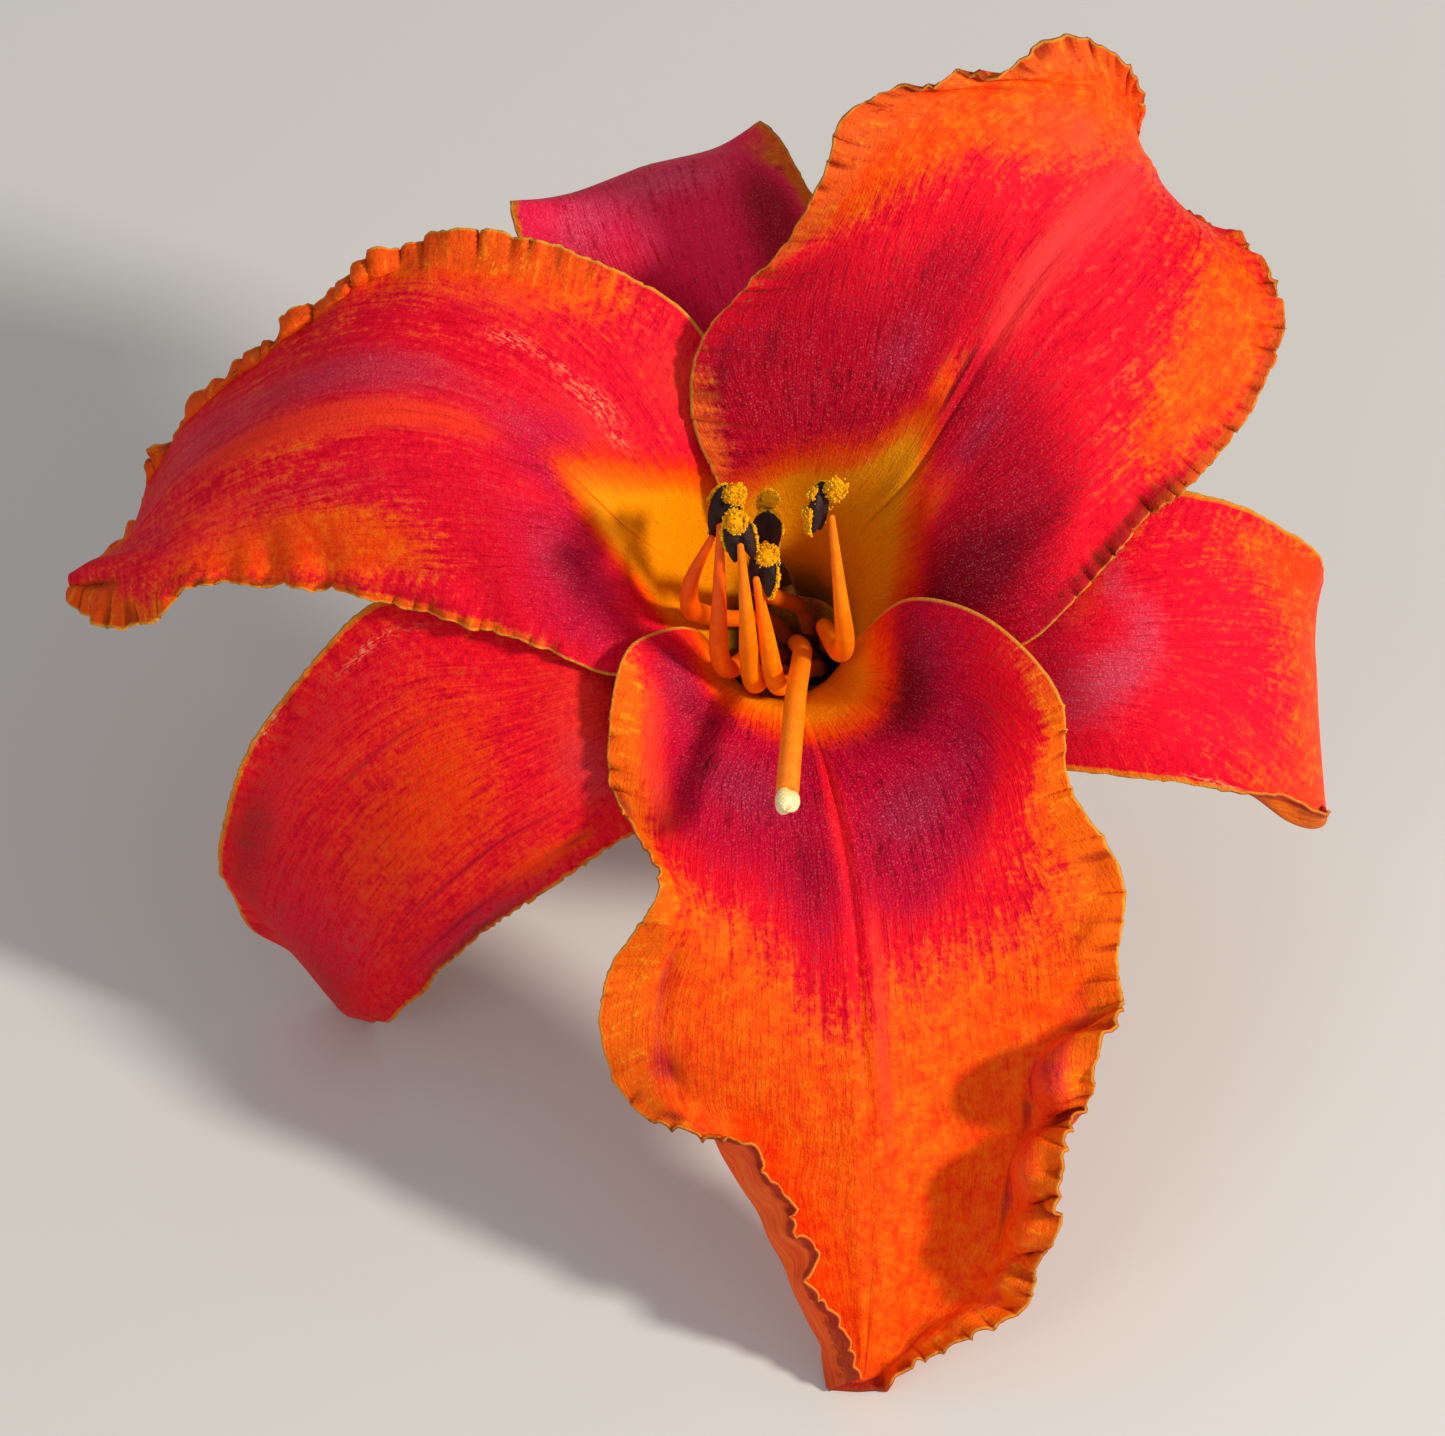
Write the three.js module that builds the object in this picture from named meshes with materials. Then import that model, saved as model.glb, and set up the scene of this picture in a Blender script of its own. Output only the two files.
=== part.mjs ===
// A picked daylily bloom lying face up: three petals, three sepals, tube, stalk, stamens and style.
import {
  BufferGeometry, Float32BufferAttribute, Group, LatheGeometry, MathUtils, Matrix4, Mesh,
  MeshStandardMaterial, Quaternion, SphereGeometry, Vector2, Vector3,
} from "three";

// Lengths are millimetres. Points of the flower are written in its own frame: x to the right,
// y up and z out towards the eye that looks into the throat, with 0 in the middle of the throat ring.
const leanBack = 45;
const floorHeight = -42.4;
const bloomPlace = [11.4, 13.8];
const tubeAxis = new Vector3(-0.2, 0.2, 0.96).normalize();

const petalThickness = 0.7;
const sepalThickness = 0.75;
const lipSlope = 1.2;
const lipEnd = 0.4;
const petalRows = 50;
const petalColumns = 12;
const sepalRows = 26;
const sepalColumns = 8;

// A base is the foot of a petal or sepal on the tube: the direction of its middle round the tube's
// axis, half the angle that it covers, and its radius at the heights above the ring given beside it.
const petalBase = { halfAngle: 55, heights: [0.4, 9], radii: [6, 8.2] };
const sepalBase = { halfAngle: 54, heights: [0.4, 8, 12.8], radii: [7.3, 10.2, 15] };

// Every section below runs across the blade from its left edge by the rib to its right edge.
const petalLower = {
  direction: 280,
  sections: [
    [[-11.5, 1.5, 17.5], [-8, -5, 17], [0.8, -8, 17.5], [7, -4.5, 17.5], [7.2, 1.5, 18.5]],
    [[-16.5, 1.2, 21.8], [-9.5, -8.8, 21.3], [2.4, -12.2, 22.5], [11.5, -7.5, 23.5], [12.5, 5.2, 25.5]],
    [[-19.6, -1.6, 23.6], [-11.5, -13.5, 24.8], [3.8, -17.5, 26.5], [17, -11, 27.5], [21, 2.6, 31]],
    [[-21, -9.5, 25.2], [-11, -19, 27.3], [5, -23.5, 29], [19.3, -17.5, 30], [28.3, -5.5, 33.5]],
    [[-20.2, -17.5, 26], [-10.5, -25.5, 29.5], [5.9, -30.5, 30.5], [20, -25, 31], [29.3, -15, 32]],
    [[-15.6, -25.8, 33], [-9, -32, 30.5], [6.5, -38, 31], [20.5, -33, 31], [34.8, -24.3, 33]],
    [[-21, -36.5, 28.5], [-9, -40, 30], [7, -45.5, 31], [20.5, -41, 30], [35, -33, 32]],
    [[-20.6, -48, 25], [-8.5, -48, 28.5], [7.4, -52, 30.2], [20.5, -48, 28.5], [34.3, -41, 33.5]],
    [[-12.8, -53.9, 28], [-7.2, -53, 27], [7.6, -57.5, 29], [21.5, -53.5, 27], [31, -49.5, 34]],
    [[-6.6, -54.2, 32.8], [-7.6, -56.5, 26.5], [7.7, -62, 28], [20.5, -59.5, 25.5], [28.6, -56.5, 34]],
    [[-2.6, -59.6, 32.4], [-4.7, -61.5, 25.5], [7.7, -67, 26.5], [19.5, -65, 24.5], [27.8, -63.5, 32.5]],
    [[0.4, -65.2, 31], [-2.2, -66.8, 25], [7.6, -71.5, 25], [17, -70.3, 23.3], [25.3, -70.8, 30]],
    [[1.4, -70.2, 29.2], [0, -71.7, 23.8], [7.4, -75.5, 23], [13.5, -75, 22.3], [19.3, -76.2, 27]],
    [[4.9, -76.2, 26.8], [2.2, -77.3, 22.3], [7, -79.8, 21.7], [9.8, -79.3, 21.4], [12, -79, 24.5]],
    [[6.5, -80.5, 25.5], [3.2, -82, 22], [6.2, -83, 21.2], [8.8, -82.5, 21.6], [10.2, -81.3, 23.8]],
  ],
  ruffle: { waves: 13, height: 1.1, from: 0.34, phases: [0.3, 0.9] },
  lips: [
    { side: 1, start: 8.9, end: 9.95, width: 6.2, height: 5 },
    { side: 1, start: 10.45, end: 12.3, width: 6, height: 5.2 },
  ],
};
const petalLeft = {
  direction: 162,
  sections: [
    [[-5.5, 17, 12.6], [-11.5, 15, 14.4], [-15, 9.5, 15.5], [-14.5, 3.5, 15], [-12, -3, 14]],
    [[-8, 28, 17], [-15, 20.5, 19.5], [-20, 13.5, 21.5], [-18.5, 6, 20.5], [-15.5, -3.5, 18.5]],
    [[-12.5, 36.5, 19], [-22, 28, 21.5], [-26.5, 19.5, 25], [-25, 9.5, 23.5], [-21.5, -3.2, 20.5]],
    [[-22, 42, 19.2], [-30, 33, 22], [-33.5, 23, 26.5], [-32, 11.5, 25.5], [-29, 0, 21.5]],
    [[-32, 45.2, 18.8], [-38.5, 35.5, 21], [-41, 25.2, 26.5], [-39.5, 13, 25], [-36.5, 2.2, 21.5]],
    [[-42, 44.8, 15.5], [-46.5, 36, 18.5], [-48.5, 25.6, 25], [-47, 13.8, 23.5], [-44.5, 4.5, 20.5]],
    [[-50, 40.2, 11.5], [-54, 33.5, 15], [-56, 24, 21.5], [-54.5, 13.5, 20.5], [-52.5, 6.2, 18.5]],
    [[-58, 34.3, 8], [-61, 29, 11], [-63, 21, 16.5], [-61.5, 12.5, 16.5], [-60, 6.7, 15.5]],
    [[-65, 28.5, 4], [-67.5, 24.5, 6.5], [-69, 17, 10.5], [-68.5, 10, 13], [-67.3, 6.4, 13.5]],
    [[-70.8, 21.5, 0], [-72.2, 17.5, 2.5], [-73.2, 12.5, 6], [-73.5, 8.3, 9.5], [-71.5, 2.6, 8.5]],
    [[-72.6, 15.5, -3.5], [-74, 12.5, -1.5], [-76.3, 9.6, 2], [-78, 7.6, 4.5], [-77.5, 2.4, 4]],
    [[-76.5, 10.5, -3.5], [-78, 9.6, -2.4], [-80, 8.4, -0.6], [-81.3, 7, 0.4], [-81.3, 5, 0.6]],
  ],
  ruffle: { waves: 14, height: 0.9, from: 0.36, phases: [0.1, 0.5] },
  lips: [{ side: -1, start: 7.2, end: 12.4, width: 3.6, height: 1.8 }],
};
const petalUpper = {
  direction: 36,
  sections: [
    [[10, -2.5, 17], [10.3, 4.5, 17.5], [7, 12.5, 16.5], [0, 16.5, 15.5], [-6.6, 13.2, 14.4]],
    [[15, -1, 23], [15.5, 7.5, 24.2], [12, 18, 23], [1.5, 21.5, 21], [-9.3, 18.5, 17.5]],
    [[24, -0.3, 27], [23, 12.5, 27.8], [16.5, 25, 26.3], [4, 29.5, 25], [-12, 26, 20.2]],
    [[31, 6, 27.5], [30, 18.5, 29.5], [21, 32.5, 28], [7, 38.5, 27.3], [-10.5, 34, 21.6]],
    [[38, 14, 27], [36, 25.5, 29], [25.5, 39.5, 28.5], [11, 46.5, 28], [-3, 42.3, 23.6]],
    [[45, 19.8, 25], [41, 31.5, 28], [29.8, 44.5, 27.5], [15, 53.5, 28.5], [2, 50.3, 27]],
    [[51, 29, 23.5], [44.5, 38, 26.5], [33.5, 48.5, 24.5], [20, 58, 27.5], [5, 58.2, 29.5]],
    [[53, 36.5, 22], [45.5, 43, 23], [36.3, 51.6, 19.5], [26.5, 60.5, 25], [13.5, 61.4, 29]],
    [[50.3, 43, 19.5], [44, 46.3, 17], [37.5, 53, 14], [31, 61, 22], [22.5, 63.3, 28]],
    [[46, 45.8, 13], [42.5, 47.8, 9.5], [38.7, 53, 7.5], [35, 60, 16], [30, 67, 24]],
    [[42, 48.3, 4], [40.5, 49.5, 2], [38.5, 52.8, 1], [37, 57.5, 9.5], [37.3, 62.5, 17]],
    [[39, 50, -4], [38.4, 50.7, -4.4], [37.7, 51.8, -4], [37.4, 54, 1.5], [37.2, 56.5, 7]],
  ],
  ruffle: { waves: 13, height: 0.9, from: 0.36, phases: [0.6, 0.2] },
  lips: [],
};
const sepalRight = {
  direction: 345,
  sections: [
    [[17, -12, 17.5], [19, -6.5, 20], [20, 0.5, 21.5], [20.5, 7.5, 20.5], [19.5, 14, 17]],
    [[28, -13.5, 20], [29.5, -7.5, 22.5], [30, 0.5, 23.5], [30, 8.5, 22.5], [29, 16.5, 19]],
    [[38, -14.7, 20.5], [38.5, -8, 22.5], [39, 0.5, 23.5], [38.5, 9, 23], [37.5, 17.3, 20]],
    [[46, -15.8, 21], [47.3, -12, 18.5], [47.5, 0, 20.5], [47, 9, 20.5], [46, 16, 18.5]],
    [[53, -17.2, 18.5], [54, -18.3, 13], [53.8, -1, 14.5], [53.8, 6.5, 15], [53.5, 12.8, 14.5]],
    [[58.3, -18.8, 14], [58, -18.5, 6], [57, -3, 6], [57, 3.5, 7.5], [58, 8.8, 9]],
    [[57.5, -17.5, 5], [57.3, -15, -1], [56.3, -5, -3], [56, 1, -1.5], [56.5, 5, 1]],
    [[54, -14, -5], [54, -11.5, -9], [53, -7, -11], [53, -3, -10], [53, 0.5, -7.5]],
    [[50.3, -11, -14], [50, -9.8, -15.5], [49.5, -8.3, -16.5], [49.8, -6.8, -15.6], [50.3, -5.5, -14]],
  ],
  ruffle: { waves: 7, height: 0.5, from: 0.4, phases: [0, 0.4] },
  lips: [],
};
const sepalLeft = {
  direction: 220,
  sections: [
    [[-24, 5.5, 16.5], [-22.5, -1, 18.5], [-22, -8.5, 21.3], [-18, -14, 22.5], [-13, -18.5, 23]],
    [[-35, 5, 18], [-32, -3, 19.8], [-29.5, -11.5, 22.3], [-24.5, -18.5, 23], [-19.5, -21.3, 22.3]],
    [[-46, 5, 16.8], [-41, -4.5, 18.8], [-37, -15, 20.8], [-31.5, -22, 20.6], [-26.5, -26, 18.8]],
    [[-53, -1, 13.5], [-48, -9, 16.3], [-43.5, -19.5, 17], [-38, -27, 15.2], [-33, -30.3, 12.5]],
    [[-59.3, -8.5, 10], [-54, -15, 12], [-48, -24.5, 11.5], [-42.5, -31, 9.5], [-38, -34, 7.5]],
    [[-63, -16.5, 5.5], [-57.5, -21.5, 6.5], [-51.2, -29.5, 5.5], [-46, -35, 3.5], [-41.5, -38, 2]],
    [[-64.5, -24, -0.5], [-59.5, -28.3, -0.5], [-53, -35, -1], [-48.8, -39.5, -2], [-44.5, -40.5, -2.5]],
    [[-62, -30, -7], [-58, -32.5, -7], [-53.3, -37.5, -7.5], [-50.3, -41, -7.5], [-46, -41.8, -7.5]],
    [[-57, -34, -13], [-55.5, -35.5, -14], [-52.5, -39.3, -14.8], [-50.3, -41.3, -14.3], [-47.5, -42, -13]],
    [[-53, -38.4, -18.8], [-52.3, -39.4, -20], [-50.7, -40.5, -21], [-49.3, -41.3, -20.2], [-48, -41.8, -19]],
  ],
  ruffle: { waves: 8, height: 0.5, from: 0.4, phases: [0.2, 0.7] },
  lips: [],
};
const sepalTop = {
  direction: 100,
  sections: [
    [[6, 27, 14], [0, 28, 14], [-8.5, 29, 12.5], [-17.5, 26, 11], [-23.5, 21, 10]],
    [[5, 38, 13.5], [-2.5, 38.5, 13], [-12, 39, 11.5], [-21.5, 36, 10], [-28.5, 32.5, 9]],
    [[3.5, 45, 12], [-4, 46.5, 12], [-14.5, 46.5, 10.5], [-24, 43.5, 9.5], [-30, 41, 10.5]],
    [[0.8, 51, 9], [-6.5, 53, 7.5], [-16, 51.5, 6.5], [-25, 48.8, 7], [-32, 48.2, 9.5]],
    [[-3.5, 57.8, 5], [-9, 55.2, 1], [-17, 53.2, 0], [-25, 50.2, 1.5], [-31.5, 48.7, 5]],
    [[-6.5, 55, -3], [-11, 53.4, -6.5], [-17, 51.6, -8], [-23, 49.6, -6.5], [-28, 48, -3]],
    [[-12.5, 50.3, -13], [-14.3, 49.8, -14.3], [-17, 49, -15.2], [-19.7, 48.3, -14.3], [-21.5, 47.8, -13]],
    [[-15, 48, -18.5], [-16, 47.8, -19], [-17, 47.5, -19.3], [-18, 47.2, -19], [-19, 47, -18.5]],
  ],
  ruffle: { waves: 7, height: 0.5, from: 0.4, phases: [0.5, 0.1] },
  lips: [],
};

// The tube's profile as radius and height along its axis, from its foot up outside and down inside.
const tubeProfile = [
  [0, -29], [3.1, -28.6], [3.7, -25], [3.9, -18], [4.7, -11], [6.3, -5], [7.9, -1.2], [8.1, 0],
  [5.4, 0], [3.1, -6.5], [2.7, -12], [2.7, -20], [2.5, -26], [0, -26.4],
];
const tubeSides = 24;
const ovarySize = { width: 4, length: 7, foot: -26.1 };
const pedicelPath = [
  [5.9, -5.9, -28.3], [7.3, -7.2, -34], [11, -9.3, -40.5], [17, -11, -44.9], [24, -11.8, -46.2],
];
const pedicelRadii = [2.4, 1.9];
const filamentRadii = [0.85, 0.9, 1.1, 0.95, 0.35];
// Two points of each filament inside the tube: their radii and their heights above the ring.
const filamentRing = { radii: [2.5, 3.9], heights: [-3.6, 3] };
// Each stamen: direction of its foot round the tube, the points that its filament passes up to its
// tip, the way that the anther lies and the way that its back faces, how far below the anther's middle
// the tip holds it, and the side to which the pollen on its far end leans.
const stamens = [
  {
    foot: 140,
    path: [[-8, 3, 10], [-11.2, 3.6, 17], [-12.1, 4.4, 22.5], [-11.9, 7.2, 26.5], [-9.6, 11.9, 29.5]],
    along: [0.3, 0.85, 0.42], back: [-0.6, -0.25, 0.7], hold: 1.4, pollenSide: [-0.5, -0.2, 0.8],
  },
  {
    foot: 195,
    path: [[-5.6, -1.2, 10], [-7.8, -2.6, 18.5], [-8.9, -0.8, 24], [-8.9, 4.6, 30.5], [-8.8, 13.1, 36.4]],
    along: [0.2, 0.9, 0.38], back: [-0.15, -0.35, 0.9], hold: 1, pollenSide: [0.35, -0.35, 0.87],
  },
  {
    foot: 250,
    path: [[-3.4, -2.8, 10], [-5, -4.2, 18.4], [-5.6, -1.4, 24.5], [-5.9, 3.2, 32], [-6.6, 10.9, 39.2]],
    along: [-0.2, 0.9, 0.38], back: [0.05, -0.38, 0.92], hold: 0, pollenSide: [0.05, -0.4, 0.9],
  },
  {
    foot: 305,
    path: [[-1, -4, 10], [-2.4, -4.4, 18.2], [-3.1, -2.4, 23], [-3.9, 2, 28.6], [-4.9, 7.3, 35]],
    along: [0.1, 0.9, 0.42], back: [-0.45, -0.35, 0.82], hold: 0, pollenSide: [0.15, -0.4, 0.9],
  },
  {
    foot: 10,
    path: [[2.8, 2, 9], [4.3, -0.7, 17], [4.9, 0.4, 23.5], [4.4, 4.9, 30.3], [3.3, 14, 38.2]],
    along: [0.12, 0.95, 0.28], back: [0.92, -0.2, 0.36], hold: 0.4, pollenSide: [0.75, 0.1, 0.5],
  },
  {
    foot: 80,
    path: [[-3, 5.5, 9], [-4, 6.4, 16], [-4, 8, 22], [-3.9, 9, 27], [-3.9, 10.9, 32]],
    along: [0.05, 0.7, 0.7], back: [-0.1, -0.7, 0.7], hold: 0.5, pollenSide: [0, 0.5, -0.8],
  },
];
// The anther's lower end is notched in its middle and drawn out into a lobe on each side by fork; its
// back has a groove, and stands off from the axis of the filament's tip.
const antherSize = { width: 3.4, length: 6.2, thick: 1.8, notch: 1.8, fork: 1, groove: 0.3, off: 1.55 };
// The pollen lies on the anther's far end: lean is how far its way from the anther's centre goes along
// the anther, as a cosine, and reach is how far away its own centre is.
const pollenSize = { width: 2.3, length: 2.6, bump: 0.2, lean: 0.84, reach: 3.35 };
const seatGap = 0.3;
const styleStart = [-18.6, -8, 1];
const stylePath = [
  [0.3, -0.4, 10], [0.1, -2, 19], [-0.5, -5.6, 27.5], [-1.1, -11.8, 34.5], [-1.5, -16.2, 38],
];
const styleRadii = [0.9, 1.3];
const stigmaRadius = 1.35;

function material(colour, roughness) {
  return new MeshStandardMaterial({ color: colour, roughness, metalness: 0, side: 2 });
}

// A smooth curve through the points, at t from 0 to 1; the ends are carried straight on.
function spline(points, t) {
  const last = points.length - 1;
  const place = MathUtils.clamp(t, 0, 1) * last;
  const i = Math.min(Math.floor(place), last - 1);
  const w = place - i;
  const start = points[i];
  const end = points[i + 1];
  return start.map((value, k) => {
    const before = i > 0 ? points[i - 1][k] : 2 * value - end[k];
    const after = i < last - 1 ? points[i + 2][k] : 2 * end[k] - value;
    const slopeIn = (end[k] - before) / 2;
    const slopeOut = (after - value) / 2;
    const rise = end[k] - value;
    return value + slopeIn * w + (3 * rise - 2 * slopeIn - slopeOut) * w * w
      + (slopeIn + slopeOut - 2 * rise) * w * w * w;
  });
}

const tubeEast = new Vector3(1, 0, 0).addScaledVector(tubeAxis, -tubeAxis.x).normalize();
const tubeNorth = new Vector3().crossVectors(tubeAxis, tubeEast);

// A point beside the tube's axis at a height, radius and direction in degrees.
function besideTube(height, radius, degrees) {
  const angle = MathUtils.degToRad(degrees);
  return tubeAxis.clone().multiplyScalar(height)
    .addScaledVector(tubeEast, radius * Math.cos(angle))
    .addScaledVector(tubeNorth, radius * Math.sin(angle)).toArray();
}

function baseSections(base, direction) {
  return base.heights.map((height, i) => [-1, -0.5, 0, 0.5, 1].map(
    (side) => besideTube(height, base.radii[i], direction + side * base.halfAngle),
  ));
}

function heightAboveFloor(point) {
  const lean = MathUtils.degToRad(leanBack);
  return point.y * Math.sin(lean) + point.z * Math.cos(lean) - floorHeight;
}

function liftToFloor(point, clearance) {
  const lean = MathUtils.degToRad(leanBack);
  const lift = Math.max(0, clearance - heightAboveFloor(point));
  point.y += lift * Math.sin(lean);
  point.z += lift * Math.cos(lean);
  return point;
}

// Columns stand closer together towards the edges, where the ruffle is.
function columnPlace(j, columns) {
  const even = 2 * j / columns - 1;
  return Math.sign(even) * Math.abs(even) ** 0.8;
}

function gridNormals(grid) {
  const rows = grid.length - 1;
  const columns = grid[0].length - 1;
  return grid.map((row, i) => row.map((point, j) => {
    const along = grid[Math.min(i + 1, rows)][j].clone().sub(grid[Math.max(i - 1, 0)][j]);
    const across = row[Math.min(j + 1, columns)].clone().sub(row[Math.max(j - 1, 0)]);
    return along.cross(across).normalize();
  }));
}

// How far the lips lift a margin along z: a lip is a strip beside one edge, between two stations, that
// stands up from the blade by its height over a slope of twice lipSlope, and of twice lipEnd stations.
function lipLift(lips, station, side, toEdge) {
  return lips.filter((lip) => lip.side === side).reduce((lift, { start, end, width, height }) => lift
    + height * MathUtils.smoothstep(station, start - lipEnd, start + lipEnd)
    * (1 - MathUtils.smoothstep(station, end - lipEnd, end + lipEnd))
    * (1 - MathUtils.smoothstep(toEdge, width - lipSlope, width + lipSlope)), 0);
}

function rowLength(row) {
  return row.slice(1).reduce((length, point, j) => length + point.distanceTo(row[j]), 0);
}

// The middle surface of a blade. The ruffle lifts each edge by height * sin(waves along the blade), with a
// swell that rises and falls, and sways it sideways by a third as much; it grows with the 1.6th power of
// the way to the edge.
function bladeSurface({ sections, ruffle, lips }, rows, columns, thickness) {
  const grid = [];
  for (let i = 0; i <= rows; i += 1) {
    const section = [0, 1, 2, 3, 4].map((k) => spline(sections.map((points) => points[k]), i / rows));
    grid.push([]);
    for (let j = 0; j <= columns; j += 1) {
      grid[i].push(new Vector3(...spline(section, (columnPlace(j, columns) + 1) / 2)));
    }
  }
  const normals = gridNormals(grid);
  return grid.map((row, i) => row.map((point, j) => {
    const u = i / rows;
    const v = columnPlace(j, columns);
    const side = v < 0 ? 0 : 1;
    const edge = Math.max(0, (Math.abs(v) - 0.4) / 0.6) ** 1.6;
    const fade = MathUtils.smoothstep(u, ruffle.from, ruffle.from + 0.12)
      * (1 - MathUtils.smoothstep(u, 0.9, 1));
    const swell = 0.6 + 0.4 * Math.sin(23 * u + 2.5 * side + 6 * ruffle.phases[side]);
    const amount = ruffle.height * edge * fade * swell;
    const turn = 2 * Math.PI * (ruffle.waves * u + ruffle.phases[side]) + 1.3 * Math.sin(17 * u + side);
    const outward = row[columns].clone().sub(row[0]).normalize().multiplyScalar(side ? 1 : -1);
    const toEdge = (1 - Math.abs(v)) * rowLength(row) / 2;
    const lift = lipLift(lips, u * (sections.length - 1), side ? 1 : -1, toEdge);
    const moved = point.clone().addScaledVector(normals[i][j], amount * Math.sin(turn))
      .addScaledVector(outward, amount * Math.cos(turn) / 3);
    moved.z += lift;
    return liftToFloor(moved, thickness / 2);
  }));
}

// Two faces split into triangles alike, half the thickness to each side, joined round the rim.
function bladeGeometry(shape, rows, columns, thickness) {
  const middle = bladeSurface(shape, rows, columns, thickness);
  const normals = gridNormals(middle);
  const positions = [];
  [1, -1].forEach((face) => middle.forEach((row, i) => row.forEach((point, j) => {
    const moved = point.clone().addScaledVector(normals[i][j], face * thickness / 2);
    positions.push(...liftToFloor(moved, 0).toArray());
  })));
  const width = columns + 1;
  const under = (rows + 1) * width;
  const faces = [];
  for (let i = 0; i < rows; i += 1) {
    for (let j = 0; j < columns; j += 1) {
      const [a, b, c, d] = [i * width + j, i * width + j + 1, (i + 1) * width + j + 1, (i + 1) * width + j];
      faces.push(a, c, b, a, d, c);
      faces.push(under + a, under + b, under + c, under + a, under + c, under + d);
    }
  }
  const rim = [];
  for (let j = 0; j < columns; j += 1) rim.push(j);
  for (let i = 0; i < rows; i += 1) rim.push(i * width + columns);
  for (let j = columns; j > 0; j -= 1) rim.push(rows * width + j);
  for (let i = rows; i > 0; i -= 1) rim.push(i * width);
  rim.forEach((a, k) => {
    const b = rim[(k + 1) % rim.length];
    faces.push(a, b, under + b, a, under + b, under + a);
  });
  return solid(positions, faces);
}

function solid(positions, faces) {
  const geometry = new BufferGeometry();
  geometry.setAttribute("position", new Float32BufferAttribute(positions, 3));
  geometry.setIndex(faces);
  geometry.computeVertexNormals();
  return geometry;
}

// A round rod through the points, its radius going smoothly through the values given for it.
function rodGeometry(path, radii, rings, sides) {
  const centres = Array.from({ length: rings + 1 }, (_, i) => new Vector3(...spline(path, i / rings)));
  const positions = [];
  let across = new Vector3(1, 0, 0);
  centres.forEach((centre, i) => {
    const heading = centres[Math.min(i + 1, rings)].clone().sub(centres[Math.max(i - 1, 0)]).normalize();
    across = across.addScaledVector(heading, -across.dot(heading)).normalize();
    const beside = new Vector3().crossVectors(heading, across);
    const [radius] = spline(radii.map((value) => [value]), i / rings);
    for (let k = 0; k < sides; k += 1) {
      const angle = 2 * Math.PI * k / sides;
      const point = centre.clone().addScaledVector(across, radius * Math.cos(angle))
        .addScaledVector(beside, radius * Math.sin(angle));
      positions.push(...liftToFloor(point, 0).toArray());
    }
  });
  const faces = [];
  for (let i = 0; i < rings; i += 1) {
    for (let k = 0; k < sides; k += 1) {
      const next = (k + 1) % sides;
      const [a, b, c, d] = [i * sides + k, i * sides + next, (i + 1) * sides + next, (i + 1) * sides + k];
      faces.push(a, b, c, a, c, d);
    }
  }
  for (let k = 1; k < sides - 1; k += 1) {
    faces.push(0, k + 1, k);
    faces.push(rings * sides, rings * sides + k, rings * sides + k + 1);
  }
  return solid(positions, faces);
}

// An egg whose surface swells by bump where three sines of its direction meet.
function lumpGeometry(width, length, bump, segments) {
  const geometry = new SphereGeometry(1, segments, Math.round(segments * 0.7));
  const position = geometry.attributes.position;
  for (let i = 0; i < position.count; i += 1) {
    const [x, y, z] = [position.getX(i), position.getY(i), position.getZ(i)];
    const swell = 1 + bump * Math.sin(7 * x + 1) * Math.sin(9 * y + 2) * Math.cos(6 * z);
    position.setXYZ(i, x * swell * width / 2, y * swell * length / 2, z * swell * width / 2);
  }
  geometry.computeVertexNormals();
  return geometry;
}

// An anther lies along y with its back to z: an egg with a groove down its back, whose lower part rises by
// the notch where x is near 0 and drops by the fork times the square of x.
function antherGeometry({ width, length, thick, notch, fork, groove }, segments) {
  const geometry = new SphereGeometry(1, segments, Math.round(segments * 0.75));
  const position = geometry.attributes.position;
  for (let i = 0; i < position.count; i += 1) {
    const [x, y, z] = [position.getX(i), position.getY(i), position.getZ(i)];
    const low = MathUtils.smoothstep(-y, 0.1, 0.9);
    const rise = low * (notch * Math.exp(-((x / 0.4) ** 2)) - fork * x * x);
    const dip = groove * Math.max(0, z) * Math.exp(-((x / 0.25) ** 2));
    position.setXYZ(i, x * width / 2, y * length / 2 + rise, z * thick / 2 - dip);
  }
  geometry.computeVertexNormals();
  return geometry;
}

function pieceMesh(name, geometry, paint) {
  const mesh = new Mesh(geometry, paint);
  mesh.name = name;
  return mesh;
}

function pointAlong(mesh, direction) {
  mesh.quaternion.copy(new Quaternion().setFromUnitVectors(new Vector3(0, 1, 0), direction));
  return mesh;
}

function tepal(name, shape, base, rows, columns, thickness, paint) {
  const sections = [...baseSections(base, shape.direction), ...shape.sections];
  return pieceMesh(name, bladeGeometry({ ...shape, sections }, rows, columns, thickness), paint);
}

function tubeMesh() {
  const profile = tubeProfile.map(([radius, height]) => new Vector2(radius, height));
  const mesh = pieceMesh("perianth_tube", new LatheGeometry(profile, tubeSides), material("#c98a2b", 0.6));
  return pointAlong(mesh, tubeAxis);
}

function ovaryMesh() {
  const { width, length, foot } = ovarySize;
  const mesh = pieceMesh("ovary", lumpGeometry(width, length, 0, 12), material("#8aa03a", 0.6));
  mesh.position.copy(tubeAxis).multiplyScalar(foot + length / 2);
  return pointAlong(mesh, tubeAxis);
}

// The side with its share along the direction taken off.
function squareTo(direction, side) {
  const vector = new Vector3(...side);
  return vector.addScaledVector(direction, -vector.dot(direction)).normalize();
}

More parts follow.
